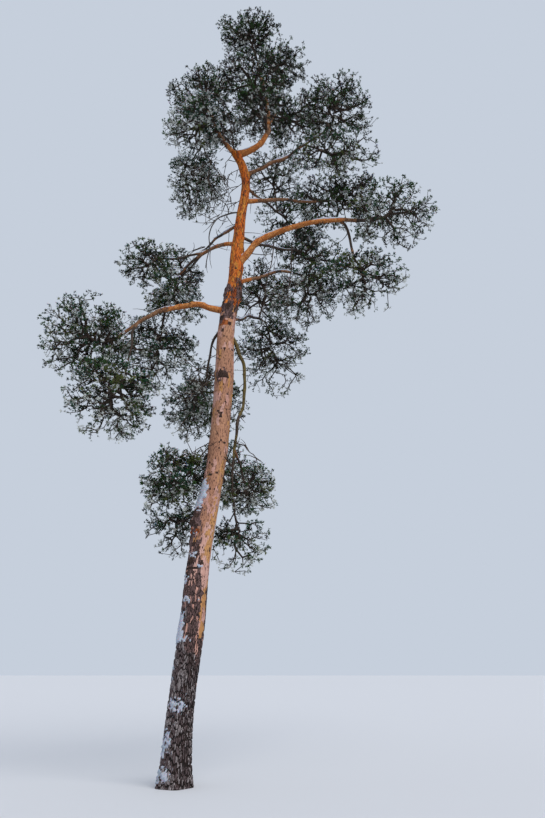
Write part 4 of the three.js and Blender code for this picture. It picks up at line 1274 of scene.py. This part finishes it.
def stem_rods():
    """The stems of all masses, as short lengths of rod."""
    parts = []
    for mass in MASSES:
        controls, first = stem_controls(mass)
        points = on_curve(controls, np.linspace(0, 1, STEM_POINTS))
        points[1:-1] += STEM_WAVER * wandering(points[1:-1], 0.2, (41, 42, 43))
        parts.append(lengths_along(points, np.linspace(first, first * STEM_TAPER, STEM_POINTS) / 2))
    return np.concatenate(parts)


def snow_lump():
    """A low dome of snow with its top towards +Z, about 1 from its middle to its rim."""
    turns = np.arange(LUMP_COLUMNS) / LUMP_COLUMNS * 2 * np.pi
    flat = np.column_stack((np.cos(turns), np.sin(turns), np.zeros(LUMP_COLUMNS)))
    cells = np.column_stack((np.arange(LUMP_COLUMNS), np.ones(LUMP_COLUMNS, int)))
    uneven = 1 + LUMP_UNEVEN * (2 * hashed(cells, 51) - 1)
    return closed_tube(np.array([flat * (uneven * share)[:, None] + UP * rise for share, rise in LUMP_ROWS]))


def trunk_snow(settings):
    """Snow on the trunk: ledges and plastered patches that follow the bark and end raggedly in it."""
    return joined([patch_shell(patch, settings) for patch in SNOW_PATCHES])


def patch_shell(patch, settings):
    """One patch of snow: a shell with its back in the wood, out of the bark only where snow has stuck."""
    wide, long = patch.width * SNOW_ROOM, patch.length * SNOW_ROOM
    rows, columns = (max(6, round(2 * half / SNOW_STEP)) for half in (long, wide))
    levels = np.maximum(0.01, patch.height + np.linspace(-long, long, rows))
    radius = trunk_surface(np.array([patch.height]), np.array([0.0]))[2][0]
    spread = math.radians(patch.turn) + np.linspace(-wide, wide, columns) / radius
    heights, turns = (grid.ravel() for grid in np.meshgrid(levels, spread, indexing="ij"))
    surface, outward, radii = trunk_surface(heights, turns)
    relief, _ = bark_relief(heights, turns, settings)
    # Snow slumps towards a patch's foot. A fuller patch is less broken, and hides more of the relief.
    slumped = 1 - 0.75 * (heights - patch.height) / long
    broken = (1.25 - patch.cover) * (rough(surface, 0.05, 20) + rough(surface, 0.026, 21))
    lumpy = 0.9 * slumped * patch.cover + broken
    held = patch_cover(patch, heights, turns, radii, surface) * smooth(0.1, 0.5, lumpy)
    relief = relief * np.clip(1.35 - patch.cover, 0.1, 1)
    lift = np.where(held > SNOW_EDGE, relief + patch.thickness * held * lumpy, relief - SNOW_SUNK)
    outer = (surface + outward * lift[:, None]).reshape(rows, columns, 3)
    inner = (surface - outward * 2 * SNOW_SUNK).reshape(rows, columns, 3)
    return closed_tube(np.concatenate((outer, inner[:, ::-1]), axis=1))


def bough_snow(settings):
    """Snow in broken strips along the upper side of the boughs that lie flat enough to hold it."""
    strips = []
    rng = np.random.default_rng(SEED + 2)
    for bough in BOUGHS:
        if bough.name == "dead_branch":
            continue
        points, radii, _ = crooked_line(bough)
        tangents, _, _ = frames_along(points)
        held = (np.abs(tangents[:, 2]) < FLAT_ENOUGH) & (rough(points, 0.28, 61) > SNOW_GAPS)
        edges = np.flatnonzero(np.diff(np.concatenate(([0], held.astype(int), [0]))))
        for first, last in zip(edges[::2], edges[1::2]):
            if last - first > SHORTEST_STRIP:
                strips.append(strip(points[first:last], radii[first:last], tangents[first:last],
                                    settings.bough_depth * rng.uniform(*STRIP_SIZES)))
    return joined(strips)


def strip(points, radii, tangents, depth):
    """One strip of snow on a limb: rounded on top, thin at both ends, its underside in the wood."""
    shares = np.linspace(0, 1, len(points))
    fullness = np.sqrt(np.clip(np.sin(np.pi * shares), 0, 1)) * (1 + 0.25 * rough(points, 0.1, 62))
    side = unit(np.cross(tangents, UP))
    top = np.cross(side, tangents)
    rows = []
    for angle, rise in STRIP_PROFILE:
        turn = math.radians(angle) * (0.55 + 0.45 * fullness)
        out = side * np.sin(turn)[:, None] + top * np.cos(turn)[:, None]
        rows.append(points + out * (radii * 1.02 + depth * (rise * fullness - 0.15))[:, None])
    rows.append(points + top * (radii * 0.4)[:, None])
    return closed_tube(np.stack(rows, axis=1))


def needle_snow(settings):
    """Small lumps of snow caught on the upper shoots of each spray."""
    shoots, _ = crown()
    rng = np.random.default_rng(SEED + 3)
    above = shoots["foot"][:, 2] - by_mass(shoots, lambda mass: mass.centre[2])
    rising = shoots["way"][:, 2]
    chance = settings.caught_share * smooth(*CAUGHT_ABOVE, above) * smooth(*CAUGHT_RISE, rising)
    caught = np.flatnonzero(rng.uniform(0, 1, len(above)) < chance)
    foot, way = shoots["foot"][caught], shoots["way"][caught]
    forward = unit(way * (1, 1, LUMP_FLATNESS))
    right = unit(np.cross(forward, UP))
    top = np.cross(right, forward)
    size = rng.uniform(*LUMP_SIZES, len(caught))[:, None]
    axes = np.stack([axis * half * size for axis, half in zip((right, forward, top), LUMP_HALVES)], axis=1)
    points, faces = snow_lump()
    return repeated(copies_at(points, foot + way * LUMP_AHEAD + UP * LUMP_ABOVE, axes), faces)


def deal_colours(shoots):
    """A kind of needles for each shoot: neighbours are alike, and the frosted ones are spread among them."""
    rng = np.random.default_rng(SEED + 4)
    patches = hashed(np.floor(shoots["foot"] / PATCH_SIZE).astype(np.int64), SEED)
    own = rng.uniform(0, 1, len(patches))
    dealt = np.where(rng.uniform(0, 1, len(patches)) < PATCHED_SHARE, patches, own)
    # Painted shade: masses at the top of the crown get darker needles here, and fewer frosted ones below.
    dealt *= by_mass(shoots, lambda mass: TOP_SHADE_DEAL if mass.top else 1.0)
    kinds = np.searchsorted(np.cumsum(GREEN_SHARES)[:-1], dealt)
    middle = by_mass(shoots, lambda mass: mass.centre[2])
    half = by_mass(shoots, lambda mass: mass.half[2])
    low = 1 - smooth(*FROSTED_BAND, (shoots["foot"][:, 2] - middle) / half)
    whiter = by_mass(shoots, lambda mass: mass.white) + LOW_FROST * (1 - smooth(*LOW_BAND, middle))
    whiter -= by_mass(shoots, lambda mass: TOP_FROST * mass.top)
    frosted = rng.uniform(0, 1, len(patches)) < lerp(*FROSTED_SHARES, low) + whiter
    return np.where(frosted, NEEDLE_KINDS.index("frosted"), kinds)


def linear(hex_colour):
    """An sRGB hex colour as linear red, green and blue."""
    channels = (int(hex_colour[start:start + 2], 16) / 255 for start in (0, 2, 4))
    return tuple(c / 12.92 if c <= 0.04045 else ((c + 0.055) / 1.055) ** 2.4 for c in channels)


def add_node(tree, kind, inputs=None, **settings):
    """Adds a node to a tree, with its settings, its values and its links."""
    made = tree.nodes.new(kind)
    for name, value in settings.items():
        setattr(made, name, value)
    for socket, value in (inputs or {}).items():
        if isinstance(value, bpy.types.NodeSocket):
            tree.links.new(value, made.inputs[socket])
        else:
            made.inputs[socket].default_value = value
    return made


def new_material(name, roughness, specular=0.5):
    """An empty material with its shader, and its node tree."""
    material = bpy.data.materials.new(name)
    material.use_nodes = True
    tree = material.node_tree
    shader = tree.nodes["Principled BSDF"]
    shader.inputs["Roughness"].default_value = roughness
    shader.inputs["Specular IOR Level"].default_value = specular
    return material, tree, shader


def bark(finish, settings):
    """Bark: blotches of a paler colour, dark cracks that run up the stem, and fine bumps of real depth."""
    material, tree, shader = new_material(finish.material, 0.9, 0.25)
    places = add_node(tree, "ShaderNodeTexCoord").outputs["Object"]
    upright = add_node(tree, "ShaderNodeMapping", {"Vector": places, "Scale": (1, 1, GRAIN_STRETCH)})
    blotches = add_node(tree, "ShaderNodeTexNoise", {
        "Vector": upright.outputs["Vector"], "Scale": 1 / finish.blotch, "Detail": 4.0})
    grains = add_node(tree, "ShaderNodeTexNoise", {
        "Vector": upright.outputs["Vector"], "Scale": 1 / finish.grain, "Detail": 5.0, "Roughness": 0.65})
    in_blotch = add_node(tree, "ShaderNodeMapRange", {
        "Value": blotches.outputs["Fac"], "From Min": 0.42, "From Max": 0.66})
    in_crack = add_node(tree, "ShaderNodeMapRange", {
        "Value": grains.outputs["Fac"],
        "From Min": 0.35 + finish.cracked / 2, "From Max": 0.25 + finish.cracked / 3})
    blotched = add_node(tree, "ShaderNodeMix", {
        "Factor": in_blotch.outputs["Result"],
        "A": (*getattr(settings, finish.colour), 1), "B": (*linear(finish.pale), 1)}, data_type="RGBA")
    cracked = add_node(tree, "ShaderNodeMix", {
        "Factor": in_crack.outputs["Result"],
        "A": blotched.outputs["Result"], "B": (*linear(finish.dark), 1)}, data_type="RGBA")
    bumps = add_node(tree, "ShaderNodeBump", {
        "Height": grains.outputs["Fac"], "Distance": finish.depth, "Strength": 0.7})
    tree.links.new(cracked.outputs["Result"], shader.inputs["Base Color"])
    tree.links.new(bumps.outputs["Normal"], shader.inputs["Normal"])
    return material


def needles(name, colour):
    """Living needles: a plain green with a waxy coat, so that they gleam a little where they face the sky."""
    material, tree, shader = new_material(name, 0.55, 0.15)
    shader.inputs["Base Color"].default_value = (*colour, 1)
    places = add_node(tree, "ShaderNodeTexCoord").outputs["Object"]
    noise = add_node(tree, "ShaderNodeTexNoise", {"Vector": places, "Scale": 1 / 0.05})
    wax = add_node(tree, "ShaderNodeMapRange", {"Value": noise.outputs["Fac"], "To Min": 0.45, "To Max": 0.7})
    tree.links.new(wax.outputs["Result"], shader.inputs["Roughness"])
    return material


def fresh_snow(name, colour):
    """Fresh dry snow: white and rough, with light that spreads inside it and a fine uneven surface."""
    material, tree, shader = new_material(name, 0.75, 0.3)
    shader.inputs["Base Color"].default_value = (*colour, 1)
    shader.inputs["Subsurface Weight"].default_value = 0.25
    shader.inputs["Subsurface Scale"].default_value = 0.01
    places = add_node(tree, "ShaderNodeTexCoord").outputs["Object"]
    grains = add_node(tree, "ShaderNodeTexNoise", {"Vector": places, "Scale": 1 / 0.012, "Detail": 3.0})
    bumps = add_node(tree, "ShaderNodeBump", {"Height": grains.outputs["Fac"], "Distance": 0.004})
    tree.links.new(bumps.outputs["Normal"], shader.inputs["Normal"])
    return material


def add_piece(name, points, faces, materials, kinds=None, smooth_faces=True):
    """A mesh of triangles that rides on the tree's one body."""
    mesh = bpy.data.meshes.new(name)
    mesh.vertices.add(len(points))
    mesh.vertices.foreach_set("co", points.astype(np.float32).ravel())
    mesh.loops.add(len(faces) * 3)
    mesh.loops.foreach_set("vertex_index", faces.astype(np.int32).ravel())
    mesh.polygons.add(len(faces))
    mesh.polygons.foreach_set("loop_start", np.arange(0, len(faces) * 3, 3, dtype=np.int32))
    if kinds is not None:
        mesh.polygons.foreach_set("material_index", kinds.astype(np.int32))
    mesh.polygons.foreach_set("use_smooth", np.full(len(faces), smooth_faces))
    for material in materials:
        mesh.materials.append(material)
    mesh.update(calc_edges=True)
    if mesh.validate():
        raise RuntimeError(f"{name} has faces that aren't sound")
    piece = bpy.data.objects.new(name, mesh)
    bpy.context.collection.objects.link(piece)
    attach(piece, BODY)
    return piece


def size_setting(name, description, default, least):
    """A setting in metres."""
    return FloatProperty(name=name, description=description, default=default, min=least, unit="LENGTH")


def number_setting(name, description, default, least, most):
    """A setting without a unit, such as a share or a strength."""
    return FloatProperty(name=name, description=description, default=default, min=least, max=most)


def count_setting(name, description, default, least):
    """A setting that is a whole number."""
    return IntProperty(name=name, description=description, default=default, min=least)


def colour_setting(name, description, hex_colour):
    """A setting for a colour."""
    return FloatVectorProperty(name=name, description=description, default=linear(hex_colour),
                               min=0, max=1, subtype="COLOR")


class PineTrunkSettings(bpy.types.PropertyGroup):
    """The sizes of the trunk's plates and flakes, and the colours of its bark"""
    plate_height: size_setting("Plate height", "Usual height of a bark plate", 0.12, 0.05)
    flake_height: size_setting("Flake height", "Usual height of a bark flake higher up", 0.17, 0.03)
    fissure_depth: size_setting("Fissure depth", "Depth of the cracks between plates", 0.022, 0.0)
    plated_step: size_setting("Row height below", "Height of a row of points on plated bark", 0.0135, 0.005)
    upper_step: size_setting("Row height above", "Height of a row of points on flaking bark", 0.038, 0.01)
    trunk_columns: count_setting("Columns", "Points round the trunk", 152, 24)
    plated: colour_setting("Plates", "Colour of the plated bark", "5b4e50")
    bleached: colour_setting("Bleached plates", "Colour of the palest plates", "8c8384")
    hollow: colour_setting("Fissures", "Colour inside the cracks", "1d1819")
    brown: colour_setting("Brown flakes", "Colour of the flakes just above the plates", "66504f")
    salmon: colour_setting("Middle bark", "Colour of the flaking bark of the middle trunk", "9f735c")
    pale: colour_setting("Pale flakes", "Colour of the palest flakes of the middle trunk", "b3877a")
    tawny: colour_setting("Tawny flakes", "Colour of the yellow brown flakes", "ab7b4c")
    orange: colour_setting("Upper bark", "Colour of the thin bark of the upper trunk", "ba5c17")
    amber: colour_setting("Amber flakes", "Colour of the lighter flakes of the upper trunk", "bd7528")
    rust: colour_setting("Rust flakes", "Colour of the darker flakes of the upper trunk", "93481f")
    scar: colour_setting("Knots", "Colour of old knots", "43302a")


class PineBoughSettings(bpy.types.PropertyGroup):
    """The colours of the boughs, the twigs and the dead branch"""
    orange: colour_setting("Bough bark", "Colour of the boughs' thin bark", "bd7233")
    brown: colour_setting("Outer bark", "Colour of the boughs' outer bark", "8a5f3f")
    twig: colour_setting("Twig bark", "Colour of twigs", "43372f")
    dead: colour_setting("Dead wood", "Colour of the dead branch", "4d4a48")
    algae: colour_setting("Algae", "Colour of bark that is green with algae", "5f5535")


class PineNeedleSettings(bpy.types.PropertyGroup):
    """How densely needles grow, their sizes and their colours"""
    pads_per_spray: count_setting("Pads in a spray", "Needled pads through a spray's fan", 11, 1)
    pads_per_cubic_metre: number_setting("Pads between", "Needled pads in a cubic metre of a mass",
                                         5.0, 0.0, 100.0)
    pads_reach: number_setting("Pads' reach", "How far out in a mass pads lie, as a share", 0.98, 0.1, 1.1)
    underside: number_setting("Underside", "Share of the pads kept on a mass's underside", 0.55, 0.0, 1.0)
    pad_width: size_setting("Pad width", "Usual width of a pad", 0.27, 0.05)
    pad_flatness: number_setting("Pad flatness", "A pad's height as a share of its width", 0.45, 0.1, 2.0)
    shoots_per_pad: count_setting("Shoots in a pad", "Needled ends of twigs in a pad", 8, 1)
    bare_reach: size_setting("Bare reach", "How far below and beside a limb no needles grow", 0.18, 0.0)
    spray_depth: number_setting("Spray depth", "Spread of pads off a spray's middle as a share of its length",
                                0.22, 0.0, 1.0)
    shoot_length: size_setting("Shoot length", "Length of the needled end of a twig", 0.055, 0.02)
    needle_length: size_setting("Needle length", "Length of a needle", 0.042, 0.01)
    needle_width: size_setting("Needle width", "Width of a needle: each stands for several", 0.0198, 0.001)
    tufts_per_shoot: count_setting("Tufts", "Tufts on a shoot, each on its own stem", 3, 1)
    needles_per_tuft: count_setting("Needles", "Needles in a tuft", 4, 3)
    twig_radius: size_setting("Twig radius", "Radius of the finest twigs", 0.0045, 0.0005)
    # The deep green is as dark as the shade inside the crown: partly the needles' own colour, partly painted
    # shade.
    deep: colour_setting("Deep green", "The darkest needles", "0f190a")
    middle: colour_setting("Middle green", "Needles of a middle green", "2c4721")
    blue: colour_setting("Blue green", "Needles with a blue cast", "234432")
    olive: colour_setting("Olive green", "Older needles", "4f572b")
    frosted: colour_setting("Frosted", "Needles dusted with snow", "b9bdb8")


class PineSnowSettings(bpy.types.PropertyGroup):
    """How much snow lies on the tree, and its colours"""
    bough_depth: size_setting("Depth on boughs", "Depth of the snow along the boughs", 0.028, 0.0)
    caught_share: number_setting("Caught share", "Share of the upper shoots that hold a lump of snow",
                                 0.3, 0.0, 1.0)
    # Painted light and shade: the snow among the needles is a lighter copy of the snow, and the snow on the
    # trunk and boughs a greyer copy.
    caught_colour_lit: colour_setting("Caught snow", "Colour of the snow among the needles", "c0c6d1")
    colour: colour_setting("Snow", "Colour of the snow", "a9afbd")


class PineStageSettings(bpy.types.PropertyGroup):
    """The plain floor and sky, and the light"""
    floor_size: size_setting("Floor", "Width of the floor", 700.0, 10.0)
    floor: colour_setting("Floor colour", "Colour of the plain floor", "cfd1d6")
    sky: colour_setting("Sky colour", "Colour of the plain backdrop", "c6cfdc")
    light: number_setting("Soft light", "Strength of the wide soft light", 2.2, 0.0, 100.0)


class PINE_OT_trunk(bpy.types.Operator):
    """Makes the trunk's bark, plated below and flaking above"""
    bl_idname = "pine.trunk"
    bl_label = "Trunk bark"

    def execute(self, context):
        settings = context.scene.pine_trunk
        points, faces, kinds = trunk_mesh(settings)
        materials = [bark(finish, settings) for finish in TRUNK_FINISHES]
        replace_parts(add_piece("trunk_bark", points, faces, materials, kinds), "trunk")
        return {"FINISHED"}


class PINE_OT_boughs(bpy.types.Operator):
    """Makes the bark of every bough and of the dead branch"""
    bl_idname = "pine.boughs"
    bl_label = "Boughs"

    def execute(self, context):
        materials = [bark(finish, context.scene.pine_boughs) for finish in BOUGH_FINISHES]
        for bough in BOUGHS:
            points, faces, kinds = bough_mesh(bough)
            piece = add_piece(f"{bough.name}_bark", points, faces, materials, kinds)
            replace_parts(piece, bough.name)
        return {"FINISHED"}


class PINE_OT_twigs(bpy.types.Operator):
    """Grows the stems and twigs of every mass of needles"""
    bl_idname = "pine.twigs"
    bl_label = "Twigs"

    def execute(self, context):
        material = bark(TWIG_FINISH, context.scene.pine_boughs)
        _, twigs = crown()
        for name, ends, sides in (("stems", stem_rods(), 8), ("twigs", twigs, 3), ("dead_twigs", stubs(), 5)):
            points, faces = rods(ends, sides)
            piece = add_piece(name, points, faces, [material])
            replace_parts(piece, *(mass.name for mass in MASSES))
        return {"FINISHED"}


class PINE_OT_needles(bpy.types.Operator):
    """Grows the needles, in pieces by colour"""
    bl_idname = "pine.needles"
    bl_label = "Needles"

    def execute(self, context):
        settings = context.scene.pine_needles
        shoots, _ = crown()
        kinds = deal_colours(shoots)
        on_shoot = len(BLADE_FACES) * settings.tufts_per_shoot * (settings.needles_per_tuft + 1)
        most = MOST_TRIANGLES // on_shoot
        for number, kind in enumerate(NEEDLE_KINDS):
            material = needles(f"{kind}_needles", getattr(settings, kind))
            chosen = np.flatnonzero(kinds == number)
            for part in range(-(-len(chosen) // most)):
                pick = chosen[part * most:(part + 1) * most]
                points, faces = place_shoots({key: values[pick] for key, values in shoots.items()}, settings)
                piece = add_piece(f"needles_{kind}_{part + 1}", points, faces, [material], smooth_faces=False)
                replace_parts(piece, *(mass.name for mass in MASSES))
        return {"FINISHED"}


class PINE_OT_snow(bpy.types.Operator):
    """Lays snow on the trunk, the boughs and the needles"""
    bl_idname = "pine.snow"
    bl_label = "Snow"

    def execute(self, context):
        settings = context.scene.pine_snow
        # Painted shade on the trunk's and boughs' snow, painted light on the snow among the needles.
        material = fresh_snow("fresh_snow", settings.colour)
        dusted = fresh_snow("snow_in_the_light", settings.caught_colour_lit)
        add_piece("trunk_snow", *trunk_snow(context.scene.pine_trunk), [material])
        add_piece("bough_snow", *bough_snow(settings), [material])
        add_piece("needle_snow", *needle_snow(settings), [dusted])
        return {"FINISHED"}


class PINE_OT_stage(bpy.types.Operator):
    """Sets a plain floor, a plain sky, one wide soft light and the camera"""
    bl_idname = "pine.stage"
    bl_label = "Stage"

    def execute(self, context):
        settings = context.scene.pine_stage
        scene = context.scene
        half = settings.floor_size / 2
        mesh = bpy.data.meshes.new("floor")
        corners = [(-half, -half, 0), (half, -half, 0), (half, half, 0), (-half, half, 0)]
        mesh.from_pydata(corners, [], [(0, 1, 2, 3)])
        material, _, shader = new_material("plain_floor", 0.9, 0.2)
        shader.inputs["Base Color"].default_value = (*settings.floor, 1)
        mesh.materials.append(material)
        floor = bpy.data.objects.new("floor", mesh)
        context.collection.objects.link(floor)

        world = bpy.data.worlds.new("plain_sky")
        world.use_nodes = True
        backdrop = world.node_tree.nodes["Background"]
        backdrop.inputs["Color"].default_value = (*settings.sky, 1)
        backdrop.inputs["Strength"].default_value = 1.0
        scene.world = world

        lamp = bpy.data.lights.new("soft_light", "SUN")
        lamp.energy = settings.light
        lamp.angle = math.radians(LIGHT_WIDTH)
        lamp.color = LIGHT_COLOUR
        light = bpy.data.objects.new("soft_light", lamp)
        light.rotation_euler = [math.radians(turn) for turn in LIGHT_TURN]
        context.collection.objects.link(light)

        lens = bpy.data.cameras.new("camera")
        lens.lens = CAMERA_LENS_MM
        lens.clip_end = CAMERA_REACH
        camera = bpy.data.objects.new("camera", lens)
        camera.location = CAMERA_PLACE
        camera.rotation_euler = (math.radians(90 + CAMERA_TILT), 0, 0)
        context.collection.objects.link(camera)
        scene.camera = camera
        scene.view_settings.view_transform = "Standard"
        return {"FINISHED"}


class PINE_PT_sidebar(bpy.types.Panel):
    """Lists the steps that make the pine and their settings"""
    bl_idname = "PINE_PT_sidebar"
    bl_label = "Snowed Scots pine"
    bl_space_type = "VIEW_3D"
    bl_region_type = "UI"
    bl_category = "Pine"

    def draw(self, context):
        for operator in OPERATORS:
            self.layout.operator(operator.bl_idname)
        for name, group in SETTINGS.items():
            box = self.layout.box()
            for key in group.__annotations__:
                box.prop(getattr(context.scene, name), key)


OPERATORS = (PINE_OT_trunk, PINE_OT_boughs, PINE_OT_twigs, PINE_OT_needles, PINE_OT_snow, PINE_OT_stage)
SETTINGS = {
    "pine_trunk": PineTrunkSettings,
    "pine_boughs": PineBoughSettings,
    "pine_needles": PineNeedleSettings,
    "pine_snow": PineSnowSettings,
    "pine_stage": PineStageSettings,
}


def register():
    """Registers the classes and gives the scene its settings."""
    for kind in (*SETTINGS.values(), *OPERATORS, PINE_PT_sidebar):
        bpy.utils.register_class(kind)
    for name, group in SETTINGS.items():
        setattr(bpy.types.Scene, name, PointerProperty(type=group))


def unregister():
    """Takes the settings and the classes away again."""
    for name in SETTINGS:
        delattr(bpy.types.Scene, name)
    for kind in (PINE_PT_sidebar, *reversed(OPERATORS), *reversed(SETTINGS.values())):
        bpy.utils.unregister_class(kind)


def main():
    """Makes the whole scene."""
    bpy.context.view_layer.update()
    register()
    bpy.ops.pine.stage()
    bpy.ops.pine.trunk()
    bpy.ops.pine.boughs()
    bpy.ops.pine.twigs()
    bpy.ops.pine.needles()
    bpy.ops.pine.snow()


if __name__ == "__main__":
    main()
